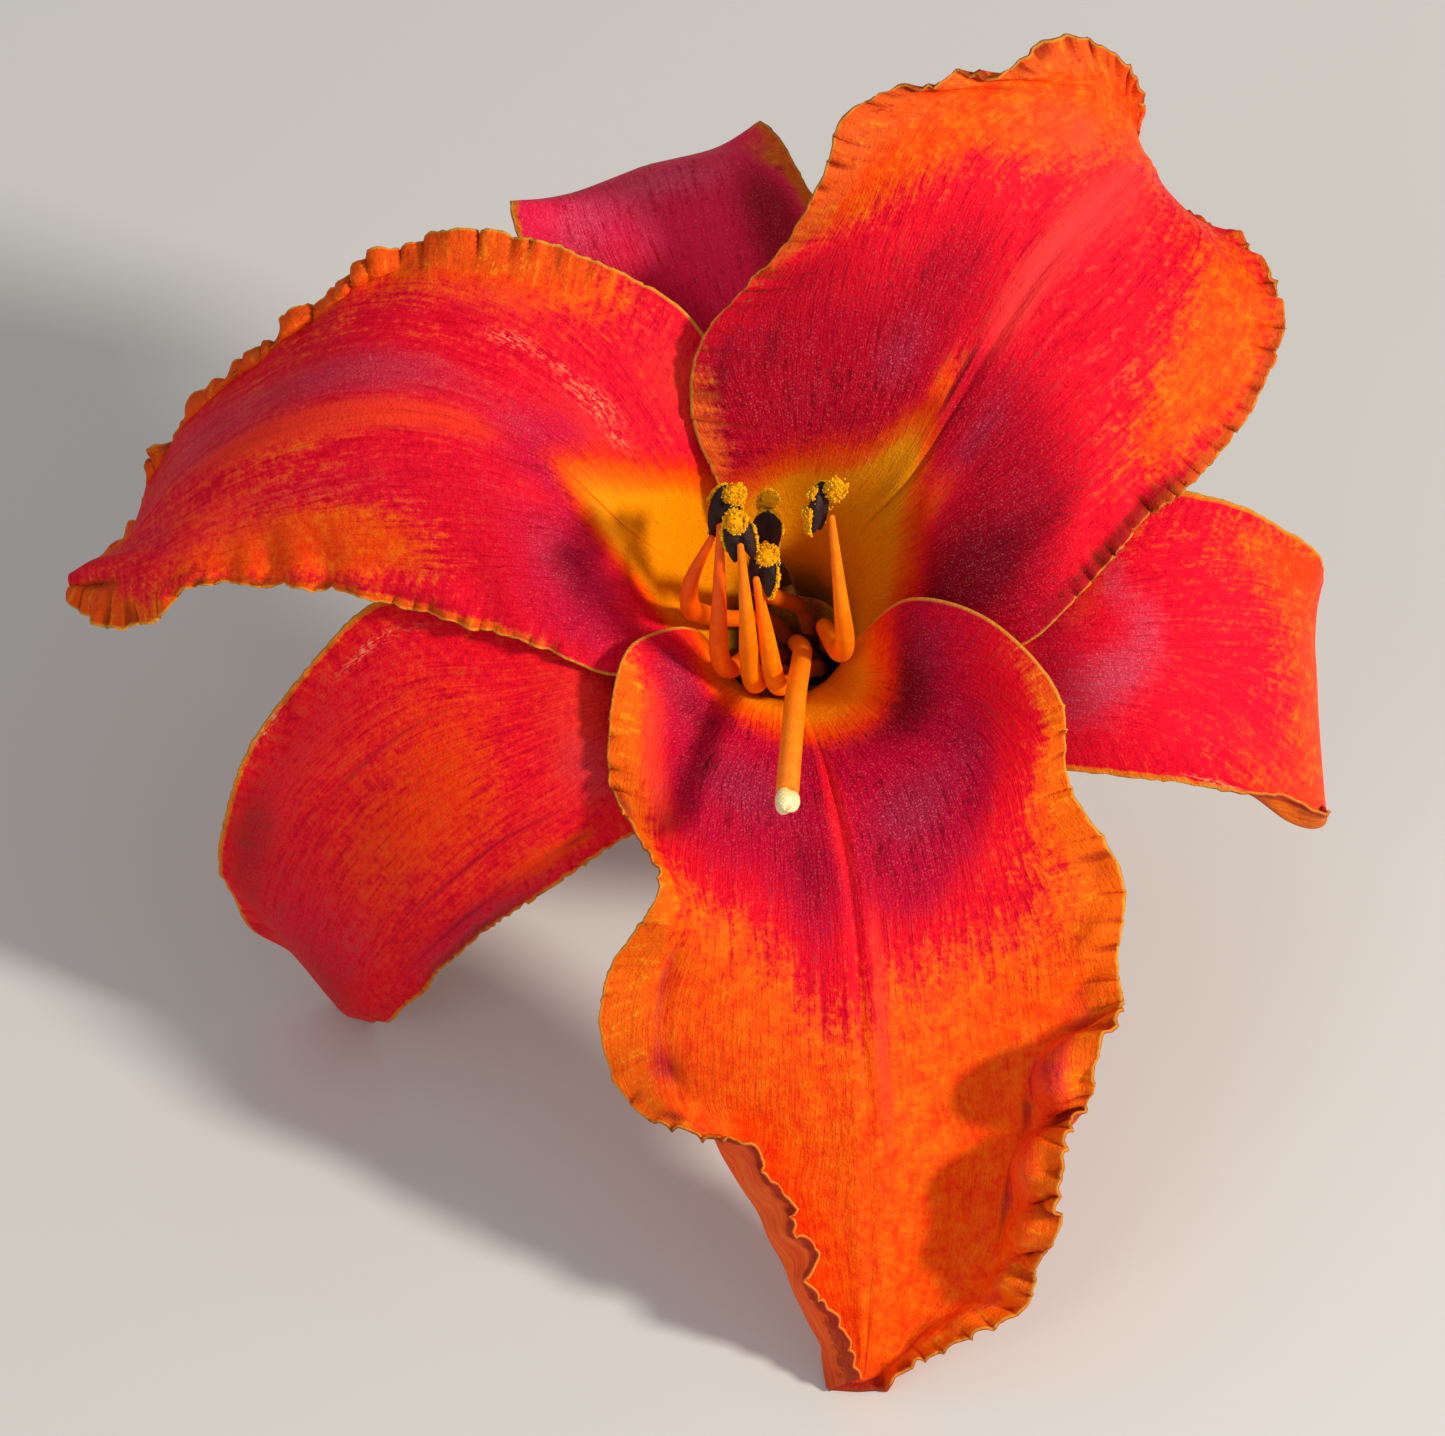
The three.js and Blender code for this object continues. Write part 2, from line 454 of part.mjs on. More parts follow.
function stamenMeshes({ foot, path, along, back, hold, pollenSide }, number) {
  const start = filamentRing.heights.map((height, i) => besideTube(height, filamentRing.radii[i], foot));
  const filament = pieceMesh(
    `filament_${number}`, rodGeometry([...start, ...path], filamentRadii, 20, 8), material("#f07a10", 0.55),
  );
  const direction = new Vector3(...along).normalize();
  const behind = squareTo(direction, back);
  const centre = new Vector3(...path[path.length - 1])
    .addScaledVector(direction, hold).addScaledVector(behind, -antherSize.off);
  const body = pieceMesh(`anther_${number}`, antherGeometry(antherSize, 16), material("#1d120c", 0.7));
  const beside = new Vector3().crossVectors(direction, behind);
  body.quaternion.setFromRotationMatrix(new Matrix4().makeBasis(beside, direction, behind));
  body.position.copy(centre);
  const dust = pieceMesh(
    `pollen_${number}`, lumpGeometry(pollenSize.width, pollenSize.length, pollenSize.bump, 12),
    material("#e8b414", 0.9),
  );
  const lean = direction.clone().multiplyScalar(pollenSize.lean)
    .addScaledVector(squareTo(direction, pollenSide), Math.sqrt(1 - pollenSize.lean ** 2));
  dust.position.copy(centre).addScaledVector(lean, pollenSize.reach);
  return [filament, body, pointAlong(dust, direction)];
}

function styleMeshes() {
  const path = [...styleStart.map((height) => besideTube(height, 0, 0)), ...stylePath];
  const style = pieceMesh("style", rodGeometry(path, styleRadii, 30, 8), material("#f58a1e", 0.5));
  const tip = new Vector3(...path[path.length - 1]);
  const heading = tip.clone().sub(new Vector3(...path[path.length - 2])).normalize();
  const stigma = pieceMesh("stigma", new SphereGeometry(stigmaRadius, 12, 8), material("#f6e2a8", 0.7));
  stigma.position.copy(tip).addScaledVector(heading, stigmaRadius + seatGap);
  return [style, stigma];
}

const bloom = new Group();
bloom.name = "bloom";
bloom.add(
  tepal(
    "petal_lower", petalLower, petalBase, petalRows, petalColumns, petalThickness,
    material("#f2560c", 0.5)
  ),
  tepal(
    "petal_left", petalLeft, petalBase, petalRows, petalColumns, petalThickness,
    material("#e8402a", 0.5)
  ),
  tepal(
    "petal_upper", petalUpper, petalBase, petalRows, petalColumns, petalThickness,
    material("#ea4a20", 0.5)
  ),
  tepal(
    "sepal_right", sepalRight, sepalBase, sepalRows, sepalColumns, sepalThickness,
    material("#e3342a", 0.5)
  ),
  tepal(
    "sepal_left", sepalLeft, sepalBase, sepalRows, sepalColumns, sepalThickness,
    material("#e04416", 0.5)
  ),
  tepal(
    "sepal_top", sepalTop, sepalBase, sepalRows, sepalColumns, sepalThickness,
    material("#b3232f", 0.5)
  ),
  tubeMesh(),
  ovaryMesh(),
  pieceMesh("pedicel", rodGeometry(pedicelPath, pedicelRadii, 16, 10), material("#8a9a3c", 0.6)),
  ...stamens.flatMap((stamen, i) => stamenMeshes(stamen, i + 1)),
  ...styleMeshes(),
);
bloom.rotation.x = MathUtils.degToRad(90 - leanBack);
bloom.position.set(bloomPlace[0], bloomPlace[1], -floorHeight);

const flower = new Group();
flower.name = "daylily_bloom";
flower.add(bloom);
export default flower;
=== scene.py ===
import math
import bpy
import numpy as np
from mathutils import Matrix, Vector


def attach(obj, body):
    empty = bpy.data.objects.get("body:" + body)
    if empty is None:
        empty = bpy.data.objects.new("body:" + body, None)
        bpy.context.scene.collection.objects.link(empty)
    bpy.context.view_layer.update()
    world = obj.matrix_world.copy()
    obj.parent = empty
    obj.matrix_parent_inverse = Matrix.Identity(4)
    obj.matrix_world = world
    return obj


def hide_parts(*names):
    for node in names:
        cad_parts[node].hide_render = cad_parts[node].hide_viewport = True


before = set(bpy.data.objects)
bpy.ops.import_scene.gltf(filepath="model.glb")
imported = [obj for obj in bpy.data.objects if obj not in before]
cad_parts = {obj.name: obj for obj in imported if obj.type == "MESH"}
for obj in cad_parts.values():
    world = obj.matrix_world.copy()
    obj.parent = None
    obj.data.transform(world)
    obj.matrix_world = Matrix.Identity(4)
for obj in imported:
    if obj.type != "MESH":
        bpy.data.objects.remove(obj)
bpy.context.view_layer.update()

print("frame loaded")

# The flower's own frame is in millimetres: x right, y up, z out of the throat towards the eye. In it the
# tube runs along its axis, with its rim at height 0 and its foot below.
stand = {"lean": 45.0, "floor": -42.4, "place": (11.4, 13.8)}
tubeAxis = np.array([-0.2, 0.2, 0.96])
tubeAxis /= np.linalg.norm(tubeAxis)
tubeEast = np.array([1.0, 0.0, 0.0]) - tubeAxis * tubeAxis[0]
tubeEast /= np.linalg.norm(tubeEast)
tubeNorth = np.cross(tubeAxis, tubeEast)


# Flower frame in mm to the row frame in metres: the face leans back about X, then it is set on the floor.
def toRow(points):
    lean = math.radians(stand["lean"])
    x, y, z = points[..., 0], points[..., 1], points[..., 2]
    row = [
        x + stand["place"][0],
        y * math.sin(lean) - z * math.cos(lean) + stand["place"][1],
        y * math.cos(lean) + z * math.sin(lean) - stand["floor"],
    ]
    return np.stack(row, axis=-1) * 0.001


# Points lower than the clearance over the floor are lifted to it, straight up.
def liftToFloor(points, clearance):
    lean = math.radians(stand["lean"])
    height = points[..., 1] * math.cos(lean) + points[..., 2] * math.sin(lean) - stand["floor"]
    lift = np.maximum(0, clearance - height)
    up = np.array([0.0, math.cos(lean), math.sin(lean)])
    return points + lift[..., None] * up


# Smooth curve through the points: cubic between neighbours, slope half the step past each, straight ends.
def spline(points, t):
    points = np.asarray(points, float)
    last = len(points) - 1
    full = np.concatenate([[2 * points[0] - points[1]], points, [2 * points[-1] - points[-2]]])
    place = np.clip(t, 0, 1) * last
    i = np.minimum(place.astype(int), last - 1)
    w = (place - i).reshape((-1,) + (1,) * (points.ndim - 1))
    before, start, end, after = full[i], full[i + 1], full[i + 2], full[i + 3]
    slopeIn, slopeOut, rise = (end - before) / 2, (after - start) / 2, end - start
    bend = 3 * rise - 2 * slopeIn - slopeOut
    return start + slopeIn * w + bend * w**2 + (slopeIn + slopeOut - 2 * rise) * w**3


# Step from 0 at low to 1 at high with flat ends: t * t * (3 - 2 * t).
def smooth(value, low, high):
    t = np.clip((value - low) / (high - low), 0, 1)
    return t * t * (3 - 2 * t)


# 1 between two places and 0 outside them, with an end softened by a length on either side of each place.
def between(value, start, end, startSoft, endSoft):
    opened = smooth(value, start - startSoft, start + startSoft)
    return opened * (1 - smooth(value, end - endSoft, end + endSoft))


# Point beside the tube's axis: axis * height + radius * (east * cos + north * sin of the direction).
def besideTube(height, radius, degrees):
    angle = math.radians(degrees)
    return tubeAxis * height + radius * (math.cos(angle) * tubeEast + math.sin(angle) * tubeNorth)


# Vectors divided by their lengths.
def unit(vectors):
    return vectors / np.maximum(np.linalg.norm(vectors, axis=-1, keepdims=True), 1e-9)


# Unit normal of a grid of points: slope along the blade crossed with slope across it.
def gridNormals(grid):
    return unit(np.cross(np.gradient(grid, axis=0), np.gradient(grid, axis=1)))


# Way along a line of points, from 0 at the first: the sum of the steps.
def wayAlong(line):
    steps = np.linalg.norm(np.diff(line, axis=0), axis=-1)
    return np.concatenate([np.zeros((1,) + steps.shape[1:]), np.cumsum(steps, axis=0)])


# Mesh object from points in the flower frame and blocks of faces with as many corners in a block; an
# attribute has a value for each point.
def meshObject(name, points, blocks, attributes):
    mesh = bpy.data.meshes.new(name)
    blocks = [np.asarray(block, np.int32) for block in blocks]
    loops = np.concatenate([block.ravel() for block in blocks])
    sizes = np.concatenate([np.full(len(block), block.shape[1]) for block in blocks])
    mesh.vertices.add(len(points))
    mesh.vertices.foreach_set("co", toRow(points).astype(np.float32).ravel())
    mesh.loops.add(len(loops))
    mesh.loops.foreach_set("vertex_index", loops)
    mesh.polygons.add(len(sizes))
    mesh.polygons.foreach_set("loop_start", np.concatenate([[0], np.cumsum(sizes)[:-1]]).astype(np.int32))
    mesh.update(calc_edges=True)
    mesh.validate()
    mesh.polygons.foreach_set("use_smooth", np.ones(len(mesh.polygons), bool))
    for key, values in attributes.items():
        values = np.asarray(values, np.float32)
        kind, field = ("FLOAT", "value") if values.ndim == 1 else ("FLOAT_VECTOR", "vector")
        mesh.attributes.new(key, kind, "POINT").data.foreach_set(field, values.ravel())
    piece = bpy.data.objects.new(name, mesh)
    bpy.context.collection.objects.link(piece)
    return piece


# A piece gets its material and the root body, and the part's node that it stands for is hidden.
def declare(piece, node, material):
    piece.data.materials.append(material)
    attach(piece, "root")
    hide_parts(node)


# Petals and sepals, with lengths in mm. v runs from -1 to 1 across a blade, and stations count its sections
# along it, those of its foot first. Each blade's dictionary holds:
# direction: of its foot round the tube, in degrees; sections: five points from v = -1 to v = 1 each
# waves, height, from, phases: the ruffle of its edges, from a share of its length on, a phase for each edge
# lips: edge, first station, last station, width, height; groove: depth of the rib
# pleats: edge, first station, last station, height, pitch, depth in from the edge
# crease shade: darkness of painted shade in pleat valleys and dents; jag: size of the edge's notches
# lumps: station, v, reach, width, height; spots: station, v, reach, width, strength
# throat: end, how much sooner it ends at v = -1 and at v = 1, softness, flame beside the rib; deep: its end
# eye and rib: start, end, half width in v; warm: start, end, amount
# edge: width of the margin at v = -1 and at v = 1, first station
# tints: colours of its faces, the changed ones after those that all blades share
# The dusk tint is a dusky tone that is partly painted shade.
# The fold tint is painted shade in the pleats' valleys and dents.
# The glint tint paints highlights on the plum, which is partly a painted sheen.
bladeTints = {
    "red": "#f00820", "deepRed": "#d80224", "coral": "#fa3c26", "orange": "#fe5406", "ember": "#f43a06",
    "flame": "#ff7408", "fleck": "#ffb080", "crimson": "#bc002c", "wine": "#7c0018", "rib": "#f01420",
    "plum": "#9c1c3c", "glint": "#e0708c", "margin": "#fb6408", "gold": "#ff8c10", "hem": "#e84c08",
    "rim": "#d89830", "duskAndShade": "#701008", "foldShade": "#8a1806", "fringe": "#f02c04", "glow": "#fc6400",
    "yellow": "#ff9400", "deep": "#9c6c0a", "back": "#ee7410", "backVein": "#d04a0c",
}

# The lower petal; v < 0 is its left half.
petalLower = {
    "direction": 280,
    "sections": [
        [[-11.5, 1.5, 17.5], [-8, -5, 17], [0.8, -8, 17.5], [7, -4.5, 17.5], [7.2, 1.5, 18.5]],
        [[-16.5, 1.2, 21.8], [-9.5, -8.8, 21.3], [2.4, -12.2, 22.5], [11.5, -7.5, 23.5], [12.5, 5.2, 25.5]],
        [[-19.6, -1.6, 23.6], [-11.5, -13.5, 24.8], [3.8, -17.5, 26.5], [17, -11, 27.5], [21, 2.6, 31]],
        [[-21, -9.5, 25.2], [-11, -19, 27.3], [5, -23.5, 29], [19.3, -17.5, 30], [28.3, -5.5, 33.5]],
        [[-20.2, -17.5, 26], [-10.5, -25.5, 29.5], [5.9, -30.5, 30.5], [20, -25, 31], [29.3, -15, 32]],
        [[-15.6, -25.8, 33], [-9, -32, 30.5], [6.5, -38, 31], [20.5, -33, 31], [34.8, -24.3, 33]],
        [[-21, -36.5, 28.5], [-9, -40, 30], [7, -45.5, 31], [20.5, -41, 30], [35, -33, 32]],
        [[-20.6, -48, 25], [-8.5, -48, 28.5], [7.4, -52, 30.2], [20.5, -48, 28.5], [34.3, -41, 33.5]],
        [[-12.8, -53.9, 28], [-7.2, -53, 27], [7.6, -57.5, 29], [21.5, -53.5, 27], [31, -49.5, 34]],
        [[-6.6, -54.2, 32.8], [-7.6, -56.5, 26.5], [7.7, -62, 28], [20.5, -59.5, 25.5], [28.6, -56.5, 34]],
        [[-2.6, -59.6, 32.4], [-4.7, -61.5, 25.5], [7.7, -67, 26.5], [19.5, -65, 24.5], [27.8, -63.5, 32.5]],
        [[0.4, -65.2, 31], [-2.2, -66.8, 25], [7.6, -71.5, 25], [17, -70.3, 23.3], [25.3, -70.8, 30]],
        [[1.4, -70.2, 29.2], [0, -71.7, 23.8], [7.4, -75.5, 23], [13.5, -75, 22.3], [19.3, -76.2, 27]],
        [[4.9, -76.2, 26.8], [2.2, -77.3, 22.3], [7, -79.8, 21.7], [9.8, -79.3, 21.4], [12, -79, 24.5]],
        [[6.5, -80.5, 25.5], [3.2, -82, 22], [6.2, -83, 21.2], [8.8, -82.5, 21.6], [10.2, -81.3, 23.8]],
    ],
    "waves": 13, "height": 1.1, "from": 0.34, "phases": (0.3, 0.9),
    "lips": ((1, 8.9, 9.95, 6.2, 5), (1, 10.45, 12.3, 6, 5.2)),
    "groove": 1.0, "creaseShade": 0.8, "jag": 0.07,
    "pleats": (
        (-1, 4.8, 6.2, 0.8, 3.3, 4.5), (-1, 6.0, 8.6, 0.35, 4.6, 5.0), (-1, 8.8, 13.0, 0.6, 4.1, 5.0),
        (-1, 13.0, 16.0, 0.5, 2.8, 4.0), (1, 5.0, 8.4, 0.7, 4.4, 6.5), (1, 8.4, 12.2, 0.6, 3.6, 6.5),
        (1, 12.2, 16.0, 0.5, 3.5, 5.5), (1, 9.0, 15.0, 0.15, 1.8, 3.5),
    ),
    "lumps": (
        (9.4, 0.82, 0.4, 0.12, 2.2), (9.6, 0.93, 0.12, 0.05, -0.9), (10.15, 0.86, 0.13, 0.13, -2.0),
        (8.75, 0.84, 0.14, 0.1, -1.2), (10.85, 0.8, 0.42, 0.12, 2.2), (11.0, 0.93, 0.12, 0.05, -0.9),
        (11.5, 0.88, 0.12, 0.1, -1.5), (11.95, 0.8, 0.3, 0.11, 1.6), (12.4, 0.88, 0.11, 0.1, -1.2),
        (12.85, 0.82, 0.26, 0.1, 1.3), (13.3, 0.9, 0.1, 0.08, -0.9), (13.75, 0.78, 0.24, 0.1, 1.0),
        (8.3, 0.86, 0.2, 0.08, -0.8), (7.6, 0.9, 0.2, 0.07, 0.8), (6.9, 0.92, 0.2, 0.06, -0.6),
        (14.2, 0.7, 0.2, 0.1, 0.6), (9.4, -0.8, 0.3, 0.1, 0.6), (10.6, -0.85, 0.25, 0.1, 0.5),
        (12.0, -0.85, 0.25, 0.1, -0.5), (13.4, -0.8, 0.25, 0.1, 0.5), (8.9, -0.72, 0.3, 0.05, -0.7),
        (7.9, -0.74, 0.5, 0.04, -0.4), (11.3, -0.75, 0.3, 0.05, 0.5), (14.9, -0.5, 0.2, 0.15, 0.7),
        (15.4, 0.3, 0.2, 0.2, -0.6), (15.3, -0.2, 0.15, 0.2, 0.6), (14.6, 0.35, 0.2, 0.12, 0.5),
    ),
    "zones": {
        "throat": (2.6, 0.5, 0.25, 1.1, 0.0), "deep": 1.3, "eye": (2.2, 5.6, 0.62),
        "rib": (3.0, 5.6, 0.045), "edge": (5.0, 4.0, 4.9), "warm": (5.2, 8.8, 1.0),
        "eyeSpots": (
            (6.2, -0.14, 1.0, 0.1, 0.45), (5.6, 0.24, 0.8, 0.14, 0.4), (3.2, 0.85, 1.0, 0.3, 0.8),
            (3.0, -0.8, 0.8, 0.25, 0.7), (15.8, 0.0, 1.0, 0.7, 0.35), (5.6, 0.65, 0.6, 0.12, -0.5),
            (7.9, -0.75, 0.6, 0.035, 0.6), (8.8, -0.76, 0.3, 0.08, 0.7), (9.3, 0.72, 0.4, 0.05, 0.6),
            (11.2, 0.68, 0.8, 0.05, 0.5), (9.4, 0.84, 0.3, 0.1, 0.5),
        ),
        "wineSpots": (
            (3.0, 0.6, 0.6, 0.35, 0.8), (5.2, -0.13, 1.0, 0.08, 0.5), (3.1, -0.62, 0.4, 0.2, 0.5),
            (4.4, 0.8, 0.6, 0.15, 0.35), (10.0, 0.0, 5.0, 0.008, 0.3),
        ),
        "coralSpots": (
            (10.4, 0.8, 1.6, 0.14, 0.5), (8.8, 0.9, 0.9, 0.07, 0.5), (5.4, -0.66, 0.5, 0.06, 0.4),
            (4.4, -0.76, 1.3, 0.12, 0.7), (7.6, 0.07, 2.2, 0.035, 0.7),
        ),
        "warmSpots": (
            (5.8, 0.9, 0.8, 0.16, 0.8), (5.4, -0.9, 0.9, 0.16, 0.7), (4.4, -0.84, 1.2, 0.14, 0.6),
            (7.2, -0.1, 1.2, 0.12, -0.3), (6.6, -0.5, 0.8, 0.3, 0.2),
        ),
        "marginSpots": (
            (5.3, -0.92, 0.9, 0.12, 0.7), (4.3, -0.95, 0.7, 0.12, 0.8), (8.2, -0.84, 1.2, 0.14, 0.6),
            (7.6, 0.86, 0.9, 0.1, 0.5), (6.6, 0.75, 1.0, 0.16, 0.35),
        ),
        "plumSpots": (
            (4.5, 0.26, 0.7, 0.18, 0.8), (4.0, -0.3, 0.8, 0.22, 0.75), (3.0, -0.75, 0.7, 0.2, 0.6),
            (3.2, 0.8, 0.4, 0.16, 0.5), (4.2, 0.55, 0.5, 0.14, 0.4), (10.2, -0.85, 0.6, 0.1, 0.7),
            (13.4, 0.85, 0.9, 0.12, 0.6), (14.8, -0.7, 0.9, 0.3, 0.6),
        ),
        # Its first two dusk spots and the eye spots at v 0.72 and 0.68 paint shade on the lips' inner walls.
        "duskAndShadeSpots": (
            (9.8, 0.66, 0.5, 0.035, 0.7), (11.4, 0.64, 1.0, 0.035, 0.7), (10.4, 0.9, 0.25, 0.12, 0.5),
            (11.2, -0.96, 2.2, 0.06, 0.5), (9.6, -0.84, 0.2, 0.08, 0.7), (15.9, 0.0, 0.7, 0.9, 1.0),
            (5.9, -0.96, 0.35, 0.1, 0.7), (14.4, 0.6, 0.8, 0.06, 0.5),
        ),
    },
    # Its back tints are lighter too: painted light where its curled margins show their backs.
    # Its deep tint is lighter than the others': painted light in the throat's hollow.
    "tints": {
        **bladeTints, "crimson": "#c00030", "duskAndShade": "#7c101a", "foldShade": "#a02008", "deep": "#d08410",
        "back": "#ff7428", "backVein": "#f04a24",
    },
}

# The left petal; v < 0 is its upper half.
petalLeft = {
    "direction": 162,
    "sections": [
        [[-5.5, 17, 12.6], [-11.5, 15, 14.4], [-15, 9.5, 15.5], [-14.5, 3.5, 15], [-12, -3, 14]],
        [[-8, 28, 17], [-15, 20.5, 19.5], [-20, 13.5, 21.5], [-18.5, 6, 20.5], [-15.5, -3.5, 18.5]],
        [[-12.5, 36.5, 19], [-22, 28, 21.5], [-26.5, 19.5, 25], [-25, 9.5, 23.5], [-21.5, -3.2, 20.5]],
        [[-22, 42, 19.2], [-30, 33, 22], [-33.5, 23, 26.5], [-32, 11.5, 25.5], [-29, 0, 21.5]],
        [[-32, 45.2, 18.8], [-38.5, 35.5, 21], [-41, 25.2, 26.5], [-39.5, 13, 25], [-36.5, 2.2, 21.5]],
        [[-42, 44.8, 15.5], [-46.5, 36, 18.5], [-48.5, 25.6, 25], [-47, 13.8, 23.5], [-44.5, 4.5, 20.5]],
        [[-50, 40.2, 11.5], [-54, 33.5, 15], [-56, 24, 21.5], [-54.5, 13.5, 20.5], [-52.5, 6.2, 18.5]],
        [[-58, 34.3, 8], [-61, 29, 11], [-63, 21, 16.5], [-61.5, 12.5, 16.5], [-60, 6.7, 15.5]],
        [[-65, 28.5, 4], [-67.5, 24.5, 6.5], [-69, 17, 10.5], [-68.5, 10, 13], [-67.3, 6.4, 13.5]],
        [[-70.8, 21.5, 0], [-72.2, 17.5, 2.5], [-73.2, 12.5, 6], [-73.5, 8.3, 9.5], [-71.5, 2.6, 8.5]],
        [[-72.6, 15.5, -3.5], [-74, 12.5, -1.5], [-76.3, 9.6, 2], [-78, 7.6, 4.5], [-77.5, 2.4, 4]],
        [[-76.5, 10.5, -3.5], [-78, 9.6, -2.4], [-80, 8.4, -0.6], [-81.3, 7, 0.4], [-81.3, 5, 0.6]],
    ],
    "waves": 14, "height": 0.9, "from": 0.36, "phases": (0.1, 0.5),
    "lips": ((-1, 7.2, 12.4, 3.6, 1.8),),
    "groove": 0.5, "creaseShade": 1.1, "jag": 0.13,
    "pleats": (
        (-1, 4.4, 6.0, 0.35, 3.6, 5.0), (-1, 5.8, 9.4, 0.95, 4.3, 7.5), (-1, 9.4, 13.0, 0.85, 4.4, 5.5),
        (-1, 6.0, 13.0, 0.16, 2.2, 4.0), (1, 4.5, 10.5, 0.65, 3.3, 3.0), (1, 10.5, 13.0, 0.7, 3.2, 4.0),
    ),
    "lumps": (
        (12.0, 0.3, 0.9, 0.1, 1.0), (12.2, 0.58, 0.8, 0.1, -1.1), (9.0, 0.85, 1.6, 0.06, 0.6),
        (6.8, 0.86, 1.2, 0.06, 0.5),
    ),
    "zones": {
        "throat": (4.0, 2.5, 2.7, 1.2, 0.0), "deep": 1.4, "eye": (3.4, 4.9, 0.9), "rib": (5.0, 9.5, 0.07),
        "edge": (5.6, 1.6, 5.2), "warm": (5.2, 8.8, 0.34),
        "eyeSpots": (
            (6.6, 0.3, 1.2, 0.12, 0.25), (4.6, -0.62, 1.2, 0.32, -0.9), (3.4, -0.5, 0.8, 0.3, -0.6),
            (4.4, 0.22, 0.6, 0.1, -0.5),
        ),
        "wineSpots": ((4.1, 0.62, 0.5, 0.3, 0.5),),
        "coralSpots": (
            (5.6, -0.66, 1.0, 0.14, 0.5), (3.9, -0.25, 1.0, 0.16, 0.5), (7.2, 0.05, 1.6, 0.06, 0.7),
            (3.4, -0.8, 0.8, 0.2, 0.5), (9.4, 0.4, 1.2, 0.3, 0.5), (8.4, -0.7, 1.4, 0.1, 0.4),
        ),
        "warmSpots": (
            (7.2, 0.62, 1.3, 0.2, 0.75), (5.8, -0.84, 1.7, 0.24, 0.85), (9.0, 0.7, 1.2, 0.2, 0.5),
            (7.6, 0.08, 0.9, 0.06, 0.35),
        ),
        "marginSpots": (
            (6.3, -0.86, 1.1, 0.12, 0.4), (12.4, 0.75, 1.2, 0.3, 0.9), (11.6, 0.9, 0.8, 0.12, 0.7),
        ),
        "plumSpots": (
            (6.9, -0.2, 1.7, 0.14, 0.85), (4.7, -0.08, 0.7, 0.1, 0.4), (4.4, 0.5, 0.5, 0.25, 0.45),
            (9.6, -0.25, 1.2, 0.3, 0.6), (7.9, 0.33, 1.2, 0.1, 0.35), (10.4, 0.3, 0.7, 0.3, 0.4),
        ),
        "duskAndShadeSpots": (
            (10.8, -0.3, 1.0, 0.5, 0.35), (9.2, -0.55, 1.3, 0.16, 0.3), (12.1, 0.25, 0.7, 0.16, 0.5),
        ),
        "fleckSpots": (
            (5.2, -0.49, 0.26, 0.03, 1.0), (4.6, -0.47, 0.2, 0.025, 0.7), (4.0, -0.43, 0.32, 0.05, 1.0),
            (3.5, -0.36, 0.2, 0.04, 0.7),
        ),
    },
    "tints": {
        **bladeTints, "red": "#ec0c2a", "orange": "#fc4a0c", "fleck": "#ff9468", "crimson": "#d00a38",
        "wine": "#8c0028", "rib": "#f83c20", "plum": "#c42c46", "glint": "#f08488", "margin": "#ec520e",
        "gold": "#f87c12", "hem": "#d63e0e", "foldShade": "#a0380a",
    },
}

